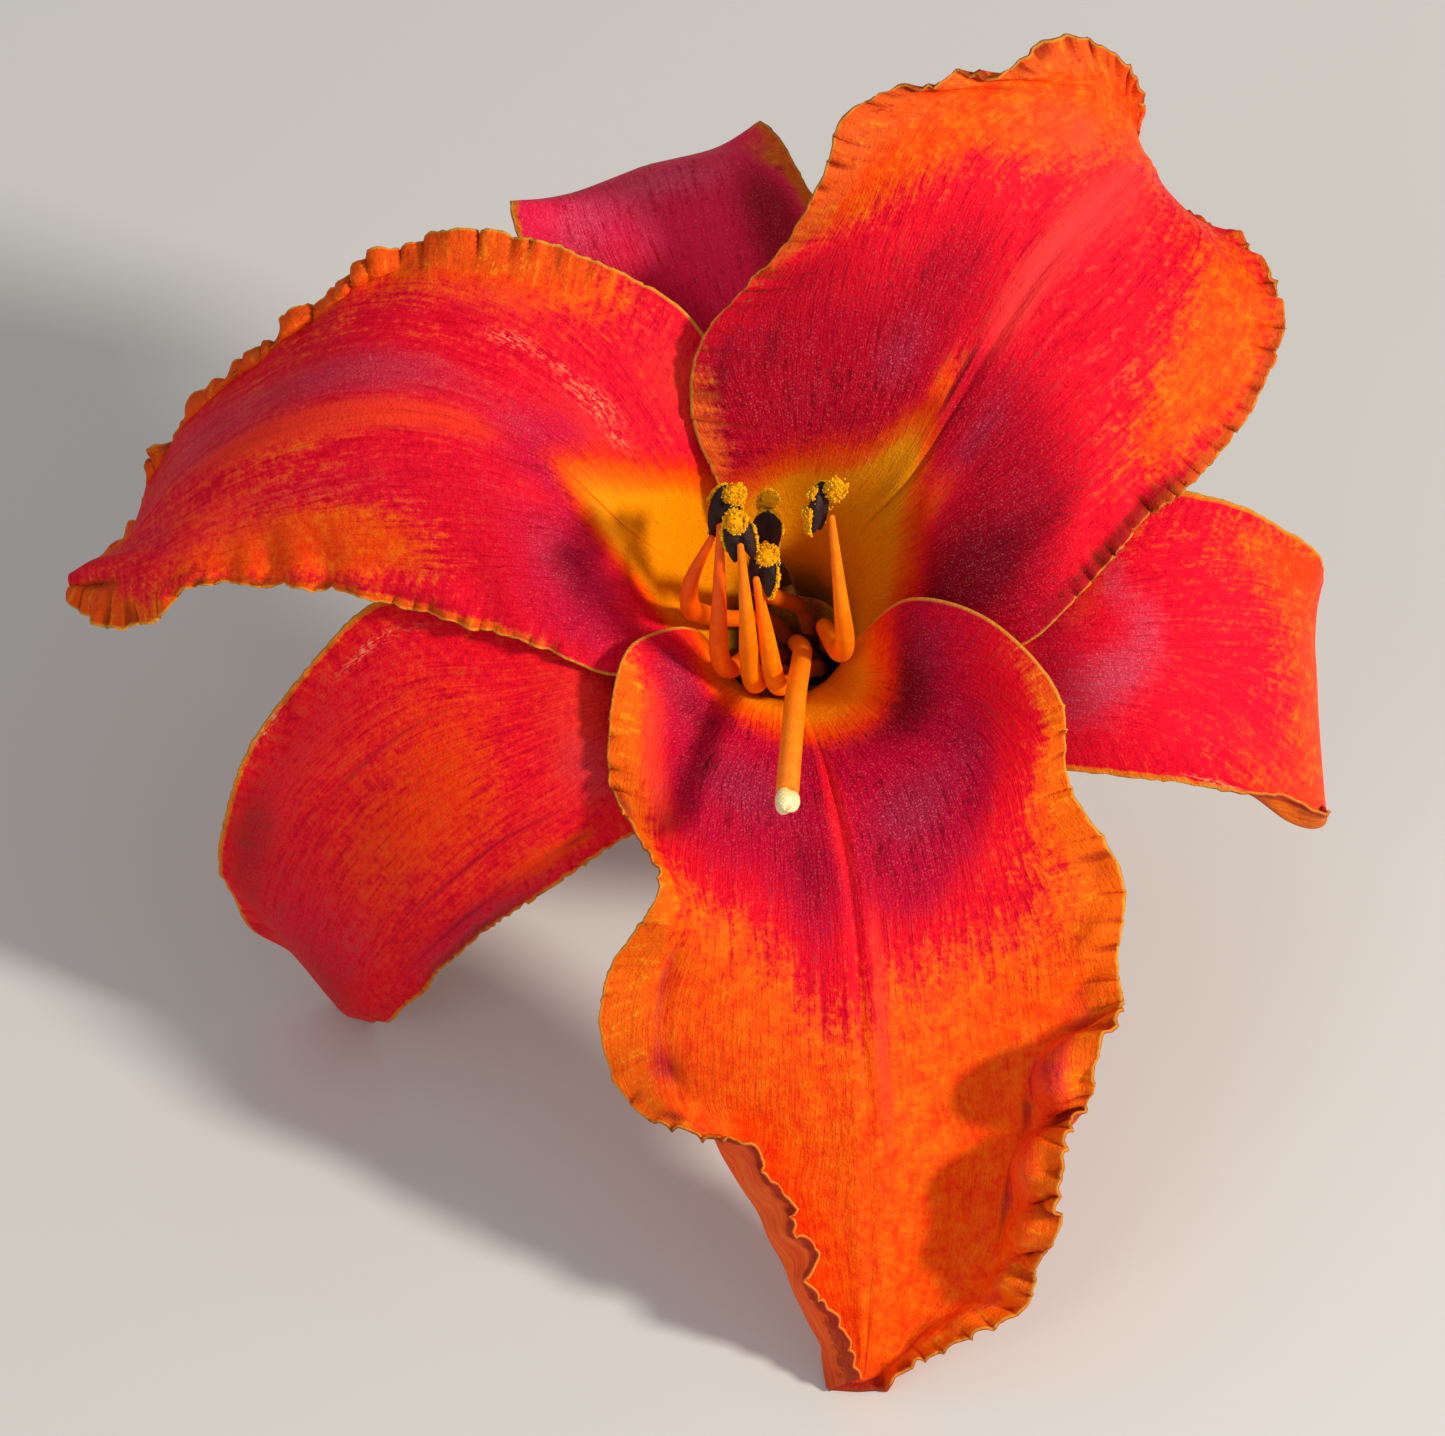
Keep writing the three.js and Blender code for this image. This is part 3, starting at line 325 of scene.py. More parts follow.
# The upper petal; v < 0 is its right half.
petalUpper = {
    "direction": 36,
    "sections": [
        [[10, -2.5, 17], [10.3, 4.5, 17.5], [7, 12.5, 16.5], [0, 16.5, 15.5], [-6.6, 13.2, 14.4]],
        [[15, -1, 23], [15.5, 7.5, 24.2], [12, 18, 23], [1.5, 21.5, 21], [-9.3, 18.5, 17.5]],
        [[24, -0.3, 27], [23, 12.5, 27.8], [16.5, 25, 26.3], [4, 29.5, 25], [-12, 26, 20.2]],
        [[31, 6, 27.5], [30, 18.5, 29.5], [21, 32.5, 28], [7, 38.5, 27.3], [-10.5, 34, 21.6]],
        [[38, 14, 27], [36, 25.5, 29], [25.5, 39.5, 28.5], [11, 46.5, 28], [-3, 42.3, 23.6]],
        [[45, 19.8, 25], [41, 31.5, 28], [29.8, 44.5, 27.5], [15, 53.5, 28.5], [2, 50.3, 27]],
        [[51, 29, 23.5], [44.5, 38, 26.5], [33.5, 48.5, 24.5], [20, 58, 27.5], [5, 58.2, 29.5]],
        [[53, 36.5, 22], [45.5, 43, 23], [36.3, 51.6, 19.5], [26.5, 60.5, 25], [13.5, 61.4, 29]],
        [[50.3, 43, 19.5], [44, 46.3, 17], [37.5, 53, 14], [31, 61, 22], [22.5, 63.3, 28]],
        [[46, 45.8, 13], [42.5, 47.8, 9.5], [38.7, 53, 7.5], [35, 60, 16], [30, 67, 24]],
        [[42, 48.3, 4], [40.5, 49.5, 2], [38.5, 52.8, 1], [37, 57.5, 9.5], [37.3, 62.5, 17]],
        [[39, 50, -4], [38.4, 50.7, -4.4], [37.7, 51.8, -4], [37.4, 54, 1.5], [37.2, 56.5, 7]],
    ],
    "waves": 13, "height": 0.9, "from": 0.36, "phases": (0.6, 0.2),
    "groove": 0.9, "creaseShade": 0.9, "jag": 0.05,
    "pleats": (
        (-1, 4.8, 9.6, 0.75, 3.0, 8.0), (-1, 5.2, 9.8, 0.3, 1.6, 4.0), (-1, 9.8, 13.0, 0.5, 3.4, 4.5),
        (1, 6.6, 9.6, 0.55, 5.6, 6.0), (1, 9.4, 13.0, 0.6, 4.6, 5.5), (1, 3.0, 6.6, 0.3, 3.4, 13.0),
    ),
    "zones": {
        "throat": (3.1, 1.6, 0.4, 1.1, 0.8), "deep": 1.5, "eye": (2.6, 5.0, 1.1), "rib": (5.0, 9.5, 0.06),
        "edge": (2.4, 5.0, 6.2), "warm": (6.0, 10.0, 0.35),
        "eyeSpots": (
            (5.8, 0.25, 0.9, 0.16, 0.6), (3.9, 0.09, 0.9, 0.06, -1.0), (3.0, -0.16, 0.9, 0.12, -0.7),
            (5.0, -0.75, 0.8, 0.2, -0.3), (5.5, 0.75, 0.5, 0.2, 0.3),
        ),
        # The thin wine spot at station 4.3 beside the rib paints the shade of the rib's groove.
        "wineSpots": (
            (3.4, -0.6, 0.8, 0.3, 0.9), (4.6, -0.55, 0.8, 0.1, 0.4), (5.4, 0.32, 0.8, 0.03, 0.45),
            (5.8, 0.2, 0.9, 0.02, 0.4), (4.6, 0.75, 0.7, 0.05, 0.5), (4.4, 0.9, 0.7, 0.04, 0.6),
            (4.3, 0.045, 0.8, 0.012, 0.9), (3.5, 0.4, 0.3, 0.2, 0.4), (6.4, 0.0, 1.8, 0.012, 0.7),
        ),
        "coralSpots": (
            (8.2, -0.05, 1.4, 0.22, 0.5), (8.8, 0.3, 1.0, 0.2, 0.4), (6.4, 0.05, 1.6, 0.04, 0.6),
        ),
        "warmSpots": (
            (7.0, 0.75, 1.1, 0.3, 1.0), (8.4, 0.5, 1.0, 0.3, 0.9), (6.6, -0.66, 1.4, 0.24, 0.65),
            (8.2, -0.7, 1.3, 0.3, 0.6), (4.1, 0.09, 0.9, 0.08, 0.7), (3.0, -0.16, 0.9, 0.12, 0.7),
            (10.6, 0.5, 1.4, 0.5, 0.8), (3.5, 0.98, 0.9, 0.08, 1.0),
        ),
        "marginSpots": (
            (7.2, 0.88, 0.9, 0.16, 0.6), (3.5, 1.0, 1.1, 0.1, 1.0), (8.0, 0.7, 0.7, 0.16, 0.5),
            (10.6, 0.6, 0.8, 0.3, 0.5),
        ),
        "plumSpots": (
            (4.4, 0.3, 0.6, 0.12, 0.6), (3.7, 0.6, 0.5, 0.2, 0.4), (4.1, -0.14, 0.7, 0.07, 0.65),
            (4.3, -0.42, 0.6, 0.14, 0.35), (5.4, -0.18, 0.6, 0.1, 0.3), (4.7, 0.85, 0.7, 0.14, 0.35),
        ),
        "duskAndShadeSpots": (
            (5.6, -0.94, 1.5, 0.09, 0.8), (8.2, -0.96, 1.0, 0.06, 0.5), (3.2, -0.5, 0.7, 0.3, 0.3),
            (8.8, 0.62, 0.25, 0.1, 0.5),
        ),
    },
    # Its yellow, glow and fringe are darker than the others': painted shade over its throat.
    "tints": {
        **bladeTints, "red": "#f00c26", "coral": "#fa3c34", "orange": "#fb4c08", "crimson": "#ba0022",
        "rib": "#f63838", "margin": "#ea581a", "gold": "#fb7e18", "hem": "#c83410", "rim": "#c88a30",
        "foldShade": "#8c1c08", "fringe": "#cc2402", "glow": "#dc5000", "yellow": "#e08800",
    },
}

# The right sepal; v < 0 is its lower half.
sepalRight = {
    "direction": 345,
    "sections": [
        [[17, -12, 17.5], [19, -6.5, 20], [20, 0.5, 21.5], [20.5, 7.5, 20.5], [19.5, 14, 17]],
        [[28, -13.5, 20], [29.5, -7.5, 22.5], [30, 0.5, 23.5], [30, 8.5, 22.5], [29, 16.5, 19]],
        [[38, -14.7, 20.5], [38.5, -8, 22.5], [39, 0.5, 23.5], [38.5, 9, 23], [37.5, 17.3, 20]],
        [[46, -15.8, 21], [47.3, -12, 18.5], [47.5, 0, 20.5], [47, 9, 20.5], [46, 16, 18.5]],
        [[53, -17.2, 18.5], [54, -18.3, 13], [53.8, -1, 14.5], [53.8, 6.5, 15], [53.5, 12.8, 14.5]],
        [[58.3, -18.8, 14], [58, -18.5, 6], [57, -3, 6], [57, 3.5, 7.5], [58, 8.8, 9]],
        [[57.5, -17.5, 5], [57.3, -15, -1], [56.3, -5, -3], [56, 1, -1.5], [56.5, 5, 1]],
        [[54, -14, -5], [54, -11.5, -9], [53, -7, -11], [53, -3, -10], [53, 0.5, -7.5]],
        [[50.3, -11, -14], [50, -9.8, -15.5], [49.5, -8.3, -16.5], [49.8, -6.8, -15.6], [50.3, -5.5, -14]],
    ],
    "waves": 7, "height": 0.5, "from": 0.4, "phases": (0, 0.4),
    "groove": 0.2, "creaseShade": 0.4, "jag": 0.04,
    "pleats": ((-1, 4.0, 9.0, 0.2, 3.4, 2.5), (1, 4.0, 9.5, 0.15, 4.2, 2.0)),
    "zones": {
        "throat": (3.2, 0.4, 0.4, 1.1, 0.0), "deep": 1.6, "eye": (3.4, 4.2, 1.1),
        "edge": (1.0, 0.7, 3.6), "warm": (5.0, 7.8, 0.42),
        "eyeSpots": ((6.0, -0.2, 1.0, 0.2, 0.3),),
        "coralSpots": ((6.6, 0.2, 1.4, 0.3, 0.3), (6.8, -0.4, 1.2, 0.15, 0.4)),
        "warmSpots": (
            (3.9, 0.4, 0.5, 0.4, 0.9), (4.3, 0.8, 0.7, 0.25, 0.6), (6.6, 0.6, 1.5, 0.35, 0.4),
            (7.8, 0.0, 0.9, 0.9, 0.4), (6.6, -0.62, 1.4, 0.2, 0.35),
        ),
        "plumSpots": (
            (4.5, 0.4, 0.25, 0.25, 0.5), (4.9, 0.1, 0.3, 0.25, 0.55), (4.5, -0.2, 0.5, 0.2, 0.6),
            (4.2, -0.5, 0.7, 0.3, 0.4),
        ),
        "wineSpots": ((3.8, -0.35, 0.8, 0.3, 0.6), (3.6, 0.1, 0.5, 0.25, 0.5)),
        "duskAndShadeSpots": ((7.0, -0.97, 1.2, 0.04, 0.4),),
        "fleckSpots": ((5.9, -0.93, 0.35, 0.03, 1.0),),
    },
    "tints": {
        **bladeTints, "red": "#ee0628", "orange": "#fb3c14", "fleck": "#ffd08c", "crimson": "#d00028",
        "wine": "#a00426", "plum": "#c8405c", "glint": "#f0a0a8", "margin": "#e87014", "rim": "#c8902c",
    },
}

# The left sepal; v < 0 is its upper half.
sepalLeft = {
    "direction": 220,
    "sections": [
        [[-24, 5.5, 16.5], [-22.5, -1, 18.5], [-22, -8.5, 21.3], [-18, -14, 22.5], [-13, -18.5, 23]],
        [[-35, 5, 18], [-32, -3, 19.8], [-29.5, -11.5, 22.3], [-24.5, -18.5, 23], [-19.5, -21.3, 22.3]],
        [[-46, 5, 16.8], [-41, -4.5, 18.8], [-37, -15, 20.8], [-31.5, -22, 20.6], [-26.5, -26, 18.8]],
        [[-53, -1, 13.5], [-48, -9, 16.3], [-43.5, -19.5, 17], [-38, -27, 15.2], [-33, -30.3, 12.5]],
        [[-59.3, -8.5, 10], [-54, -15, 12], [-48, -24.5, 11.5], [-42.5, -31, 9.5], [-38, -34, 7.5]],
        [[-63, -16.5, 5.5], [-57.5, -21.5, 6.5], [-51.2, -29.5, 5.5], [-46, -35, 3.5], [-41.5, -38, 2]],
        [[-64.5, -24, -0.5], [-59.5, -28.3, -0.5], [-53, -35, -1], [-48.8, -39.5, -2], [-44.5, -40.5, -2.5]],
        [[-62, -30, -7], [-58, -32.5, -7], [-53.3, -37.5, -7.5], [-50.3, -41, -7.5], [-46, -41.8, -7.5]],
        [[-57, -34, -13], [-55.5, -35.5, -14], [-52.5, -39.3, -14.8],
         [-50.3, -41.3, -14.3], [-47.5, -42, -13]],
        [[-53, -38.4, -18.8], [-52.3, -39.4, -20], [-50.7, -40.5, -21],
         [-49.3, -41.3, -20.2], [-48, -41.8, -19]],
    ],
    "waves": 8, "height": 0.5, "from": 0.4, "phases": (0.2, 0.7),
    "groove": 0.12, "creaseShade": 0.6, "jag": 0.04,
    "pleats": ((-1, 4.0, 9.5, 0.3, 3.2, 2.5), (1, 3.4, 8.5, 0.4, 1.9, 3.4), (1, 7.0, 9.5, 0.3, 3.8, 2.0)),
    "zones": {
        "throat": (2.4, 0.4, 0.4, 1.1, 0.0), "deep": 1.6, "eye": (2.4, 3.0, 1.2),
        "edge": (0.5, 0.5, 4.2), "warm": (3.6, 5.4, 0.34),
        "eyeSpots": (
            (8.8, -0.1, 1.5, 0.8, 0.5), (6.6, 0.8, 1.6, 0.16, 0.6), (6.4, -0.7, 2.0, 0.2, 0.35),
            (3.0, 0.0, 0.8, 0.8, -0.4),
        ),
        "wineSpots": (
            (5.5, 0.42, 2.0, 0.018, 0.7), (5.5, -0.52, 2.2, 0.018, 0.8), (6.0, -0.36, 2.0, 0.015, 0.6),
            (7.4, 0.3, 1.2, 0.018, 0.6), (6.4, 0.74, 1.6, 0.03, 0.7),
        ),
        "coralSpots": ((3.2, -0.1, 0.8, 0.6, 0.5), (4.4, 0.4, 1.0, 0.3, 0.3), (7.0, -0.6, 1.5, 0.25, 0.4)),
        "warmSpots": (
            (5.8, 0.05, 1.5, 0.28, 0.42), (4.6, -0.3, 1.0, 0.3, 0.25), (4.6, 0.72, 0.7, 0.1, 0.8),
        ),
        "plumSpots": ((3.4, 0.3, 0.6, 0.4, 0.5), (6.4, 0.9, 1.8, 0.09, 0.6), (8.2, 0.2, 0.9, 0.4, 0.35)),
        # Its first dusk spot paints shade on its end, which bends away.
        "duskAndShadeSpots": (
            (9.6, 0.1, 1.6, 0.9, 0.5), (6.6, 0.95, 1.8, 0.08, 0.7), (8.2, -0.75, 1.2, 0.25, 0.5),
            (4.4, 0.72, 0.5, 0.05, 0.6),
        ),
        "fleckSpots": ((7.0, -0.99, 0.25, 0.04, 1.0), (5.4, -0.82, 0.5, 0.02, 0.5)),
    },
    "tints": {
        **bladeTints, "red": "#f20e22", "orange": "#fa380c", "ember": "#f42a0e", "flame": "#fb4c10",
        "fleck": "#ffc890", "crimson": "#d81038", "wine": "#a80a28", "plum": "#b03848", "margin": "#e8681a",
        "rim": "#d08c28", "duskAndShade": "#8c2420",
    },
}

# The top sepal; v < 0 is its right half.
sepalTop = {
    "direction": 100,
    "sections": [
        [[6, 27, 14], [0, 28, 14], [-8.5, 29, 12.5], [-17.5, 26, 11], [-23.5, 21, 10]],
        [[5, 38, 13.5], [-2.5, 38.5, 13], [-12, 39, 11.5], [-21.5, 36, 10], [-28.5, 32.5, 9]],
        [[3.5, 45, 12], [-4, 46.5, 12], [-14.5, 46.5, 10.5], [-24, 43.5, 9.5], [-30, 41, 10.5]],
        [[0.8, 51, 9], [-6.5, 53, 7.5], [-16, 51.5, 6.5], [-25, 48.8, 7], [-32, 48.2, 9.5]],
        [[-3.5, 57.8, 5], [-9, 55.2, 1], [-17, 53.2, 0], [-25, 50.2, 1.5], [-31.5, 48.7, 5]],
        [[-6.5, 55, -3], [-11, 53.4, -6.5], [-17, 51.6, -8], [-23, 49.6, -6.5], [-28, 48, -3]],
        [[-12.5, 50.3, -13], [-14.3, 49.8, -14.3], [-17, 49, -15.2],
         [-19.7, 48.3, -14.3], [-21.5, 47.8, -13]],
        [[-15, 48, -18.5], [-16, 47.8, -19], [-17, 47.5, -19.3], [-18, 47.2, -19], [-19, 47, -18.5]],
    ],
    "waves": 7, "height": 0.5, "from": 0.4, "phases": (0.5, 0.1),
    "groove": 0.15, "creaseShade": 0.5, "jag": 0.03,
    "pleats": ((-1, 3.0, 7.5, 0.15, 3.0, 2.5), (1, 3.0, 7.5, 0.15, 3.6, 2.0)),
    "zones": {
        "throat": (2.2, 0.4, 0.4, 1.1, 0.0), "deep": 1.6, "eye": (2.8, 9.0, 1.2),
        "edge": (0.9, 0.5, 3.6), "warm": (6.0, 9.0, 0.2),
        "eyeSpots": ((4.4, 0.2, 1.0, 0.5, -0.4),),
        "coralSpots": ((4.6, 0.3, 0.9, 0.4, 0.4),),
        "warmSpots": ((3.6, -0.6, 0.9, 0.3, 0.3),),
        "plumSpots": ((5.4, 0.5, 1.0, 0.3, 0.5), (5.9, -0.1, 0.5, 0.4, 0.6), (4.8, 0.1, 0.7, 0.12, 0.3)),
        # Its first dusk spot paints the shadow that the upper petal casts on its right third.
        "duskAndShadeSpots": ((5.0, -0.6, 1.2, 0.26, 0.9), (9.0, 0.0, 1.2, 0.9, 0.3)),
        "marginSpots": (
            (5.4, -0.97, 1.7, 0.14, 1.0), (6.4, -0.75, 0.5, 0.2, 0.5), (6.6, 0.97, 0.9, 0.05, 1.0),
        ),
        "fleckSpots": ((4.3, -0.86, 0.2, 0.06, 1.0),),
    },
    # Its browner margin, gold, hem and rim tints are partly painted shade: the right edge lies in shadow.
    "tints": {
        **bladeTints, "red": "#f0183c", "deepRed": "#e01038", "coral": "#f83c48", "orange": "#e83410",
        "fleck": "#ffd890", "crimson": "#ea1c4a", "wine": "#c01040", "plum": "#dc4c6c", "glint": "#f8a0ac",
        "margin": "#d05810", "gold": "#e07018", "hem": "#b04010", "rim": "#b88430", "duskAndShade": "#800c0a",
    },
}

petalFoot = {"half": 55, "heights": (0.4, 9), "radii": (6, 8.2)}
sepalFoot = {"half": 54, "heights": (0.4, 8, 12.8), "radii": (7.3, 10.2, 15)}
ruffle = {
    "start": 0.4, "power": 1.6, "fadeIn": 0.12, "fadeOut": 0.9, "swell": (0.6, 0.4, 23, 2.5, 6),
    "drift": (1.3, 17),
}
lipping = {"ends": 0.4, "slope": 0.8}
pleating = {
    "ends": 0.5, "rounding": 0.015, "middle": 1.1, "fade": 1.2, "valleyFade": 0.7, "fullHeight": 0.45,
    "drift": ((2.0, 0.31, 1), (1.3, 0.83, 2), (0.8, 1.9, 0)), "swell": ((0.4, 0.37, 1.7), (0.4, 0.97, 1)),
}
notching = {"depth": 3, "start": 0.1, "end": 0.97, "waves": ((1, 1.7, 3), (0.6, 3.9, 1), (0.7, 0.9, 0))}
ribbing = {
    "ridge": (0.5, 0.09), "groove": (0.6, 0.022), "in": (0.1, 0.25), "out": (0.86, 0.97),
    "shallow": (0.4, 0.6),
}
bladeBody = {
    "thick": 0.7, "edgeThinner": 0.36, "ribThicker": 0.25, "ribWide": 0.07, "front": 0.35, "floorGap": 0.36,
    "hemLean": 0.5, "hemApart": 9, "veinSpread": 20, "veinFoot": 0.3, "lumpShade": 0.7,
}


# Bells about a station and a way across: sum of strength * exp(-(station off / reach)^2 - (v off / width)^2).
def bells(spots, station, v):
    total = np.zeros_like(v)
    for spotStation, spotV, reach, width, strength in spots:
        total += strength * np.exp(-(((station - spotStation) / reach) ** 2) - ((v - spotV) / width) ** 2)
    return total


# Sum of size * sin(rate * way along + shift * number) over the waves.
def sines(waves, along, number):
    return sum(size * np.sin(rate * along + shift * number) for size, rate, shift in waves)


# Grid of a blade's middle surface: the sections of its foot on the tube and its own, a smooth rail along it
# through each of their five points, and a smooth curve across the rails. Its columns are at
# v = even - closer * sin(2 pi * even) / 2 pi, so that they lie closer beside the rib and both edges.
def bladeGrid(shape, foot, rows, columns):
    turns = [shape["direction"] + share * foot["half"] for share in (-1, -0.5, 0, 0.5, 1)]
    base = [[besideTube(h, r, turn) for turn in turns] for h, r in zip(foot["heights"], foot["radii"])]
    sections = np.concatenate([np.array(base), np.array(shape["sections"], float)])
    closer = 0.5
    even = np.linspace(-1, 1, columns + 1)
    u = np.linspace(0, 1, rows + 1)
    v = even - closer / (2 * np.pi) * np.sin(2 * np.pi * even)
    rails = spline(sections, u)
    grid = np.swapaxes(spline(np.swapaxes(rails, 0, 1), (v + 1) / 2), 0, 1)
    u, v = np.meshgrid(u, v, indexing="ij")
    return grid, u, v, u * (len(sections) - 1)


# Ruffle of both edges: height * swell * sin(turn) out of the face and a third of height * swell * cos(turn)
# outward, growing with a power of the way out to the edge. The turn is 2 pi * (waves * u + phase) with a
# drift, and the swell goes up and down along the edge.
def ruffled(shape, grid, u, v, outward):
    side = (v > 0).astype(float)
    phase = np.where(side > 0, shape["phases"][1], shape["phases"][0])
    grown = np.clip((np.abs(v) - ruffle["start"]) / (1 - ruffle["start"]), 0, 1) ** ruffle["power"]
    fade = smooth(u, shape["from"], shape["from"] + ruffle["fadeIn"]) * (1 - smooth(u, ruffle["fadeOut"], 1))
    rest, change, rate, apart, shift = ruffle["swell"]
    swell = rest + change * np.sin(rate * u + apart * side + shift * phase)
    drift, driftRate = ruffle["drift"]
    turn = 2 * np.pi * (shape["waves"] * u + phase) + drift * np.sin(driftRate * u + side)
    amount = (shape["height"] * grown * fade * swell)[..., None]
    raised = grid + gridNormals(grid) * amount * np.sin(turn)[..., None]
    return raised + outward * amount / 3 * np.cos(turn)[..., None]


# How far the lips lift a margin: a lip's height along it, falling to 0 further in than its width.
def lipLift(lips, station, edge, toEdge):
    lift = np.zeros_like(toEdge)
    for lipEdge, start, end, width, height in lips:
        reach = between(station, start, end, lipping["ends"], lipping["ends"])
        inside = smooth(toEdge, width - lipping["slope"], width + lipping["slope"])
        lift += (edge == lipEdge) * height * reach * (1 - inside)
    return lift


# Pleats: the wave 2 * sqrt(cos(turn / 2)^2 + rounding) - middle has round crests and sharp valleys. Its turn
# is 2 pi * (way along the edge) / pitch with a drift of sines, it fades within a depth from the edge and
# swells and sinks along it. Gives the lift in mm and a mask of painted shade in the valleys.
def pleatWaves(pleats, station, edge, arc, toEdge):
    lift, valleyShade = np.zeros_like(toEdge), np.zeros_like(toEdge)
    for number, (pleatEdge, start, end, height, pitch, depth) in enumerate(pleats):
        turn = 2 * np.pi * arc / pitch + sines(pleating["drift"], arc, number)
        wave = 2 * np.sqrt(np.cos(turn / 2) ** 2 + pleating["rounding"]) - pleating["middle"]
        swell = 0.3 + sum(np.abs(sines([part], arc, number)) for part in pleating["swell"])
        near = between(station, start, end, pleating["ends"], pleating["ends"]) * (edge == pleatEdge)
        reach = depth * (0.75 + 0.25 * np.sin(0.71 * arc + number))
        profile = np.clip(1 - toEdge / reach, 0, 1)
        lift += near * height * swell * wave * profile ** pleating["fade"]
        darkness = min(height / pleating["fullHeight"], 1) * np.minimum(swell, 1)
        valleyShade += near * darkness * smooth(-wave, -0.3, 0.6) * profile ** pleating["valleyFade"]
    return lift, valleyShade


# Small notches of the edge itself: a sum of sines, fading with the square of the way in from the edge.
def notches(shape, u, v, arc, toEdge):
    first = shape["from"]
    along = smooth(u, first - notching["start"], first + notching["start"])
    along = along * (1 - smooth(u, notching["end"], 1))
    depth = shape["jag"] * np.clip(1 - toEdge / notching["depth"], 0, 1) ** 2
    return depth * along * sines(notching["waves"], arc, (v > 0).astype(float))


# Rib: a low ridge, ridge * exp(-(v / width)^2), with a narrow groove of the same form along its middle that
# is half as deep further out.
def ribRise(depth, u, v):
    ridge, ridgeWide = ribbing["ridge"]
    groove, grooveWide = ribbing["groove"]
    along = depth * smooth(u, *ribbing["in"]) * (1 - smooth(u, *ribbing["out"]))
    narrow = groove * np.exp(-((v / grooveWide) ** 2)) * (1 - 0.5 * smooth(u, *ribbing["shallow"]))
    return along * (ridge * np.exp(-((v / ridgeWide) ** 2)) - narrow)


# Middle surface of a blade: its grid with the ruffle, the lips raised towards the eye, and then pleats,
# lumps, notches and the rib along its normals. The hem numbers the way along and in from each edge.
def bladeSurface(shape, foot, rows, columns):
    grid, u, v, station = bladeGrid(shape, foot, rows, columns)
    edge = np.where(v < 0, -1, 1)
    outward = unit(grid[:, -1] - grid[:, 0])[:, None, :] * np.where(v > 0, 1, -1)[..., None]
    width = np.linalg.norm(np.diff(grid, axis=1), axis=-1).sum(axis=1)[:, None] / 2
    toEdge = (1 - np.abs(v)) * width
    moved = ruffled(shape, grid, u, v, outward)
    moved[..., 2] += lipLift(shape.get("lips", ()), station, edge, toEdge)
    arcs = wayAlong(moved[:, [0, -1]])
    arc = np.where(v < 0, arcs[:, :1], arcs[:, 1:]) + bladeBody["hemLean"] * toEdge
    pleated, valleyShade = pleatWaves(shape["pleats"], station, edge, arc, toEdge)
    lumps = bells(shape.get("lumps", ()), station, v)
    normals = gridNormals(moved)
    moved = moved + normals * (pleated + lumps)[..., None]
    moved = moved + outward * notches(shape, u, v, arc, toEdge)[..., None]
    moved = moved + normals * ribRise(shape["groove"], u, v)[..., None]
    # Dents add painted shade to the valleys' mask.
    valleyShade = valleyShade + np.clip(-bladeBody["lumpShade"] * lumps, 0, 1)
    hem = np.stack([arc, toEdge, bladeBody["hemApart"] * (v > 0)], axis=-1)
    return liftToFloor(moved, bladeBody["floorGap"]), u, v, station, toEdge, valleyShade, hem


# Masks from 0 to 1 over a blade: bands between two stations with soft ends, each with its spots, which are
# bells; the throat ends sooner beside the edges, with a flame beside the rib, and the margin is a band
# beside each edge.
def zoneMasks(zones, station, v, toEdge):
    spotted = ("eye", "wine", "coral", "fleck", "warm", "margin", "plum", "duskAndShade")
    masks = {name: np.clip(bells(zones.get(name + "Spots", ()), station, v), -1, 1) for name in spotted}
    end, low, high, soft, flame = zones["throat"]
    throatEnd = end - np.where(v < 0, low, high) * np.abs(v) + flame * np.exp(-(((v - 0.1) / 0.12) ** 2))
    masks["throat"] = 0.5 + (throatEnd - station) / soft
    masks["deep"] = 1 - smooth(station, 0.4, zones["deep"])
    start, end, wide = zones["eye"]
    masks["eye"] += between(station, start, end, 0.8, 1.2) * (1 - smooth(np.abs(v), wide - 0.15, wide + 0.2))
    start, end, amount = zones["warm"]
    masks["warm"] += smooth(station, start, end) * amount
    masks["rib"] = np.zeros_like(v)
    if "rib" in zones:
        start, end, wide = zones["rib"]
        masks["rib"] = np.exp(-((v / wide) ** 2)) * between(station, start, end, 0.6, 1)
    low, high, first = zones["edge"]
    margin = 1 - smooth(toEdge, 0.35, 1) * smooth(toEdge / np.where(v < 0, low, high), 0.45, 1.25)
    masks["margin"] += margin * smooth(station, first - 1.5, first + 1)
    return {name: np.clip(values, 0, 1) for name, values in masks.items()}


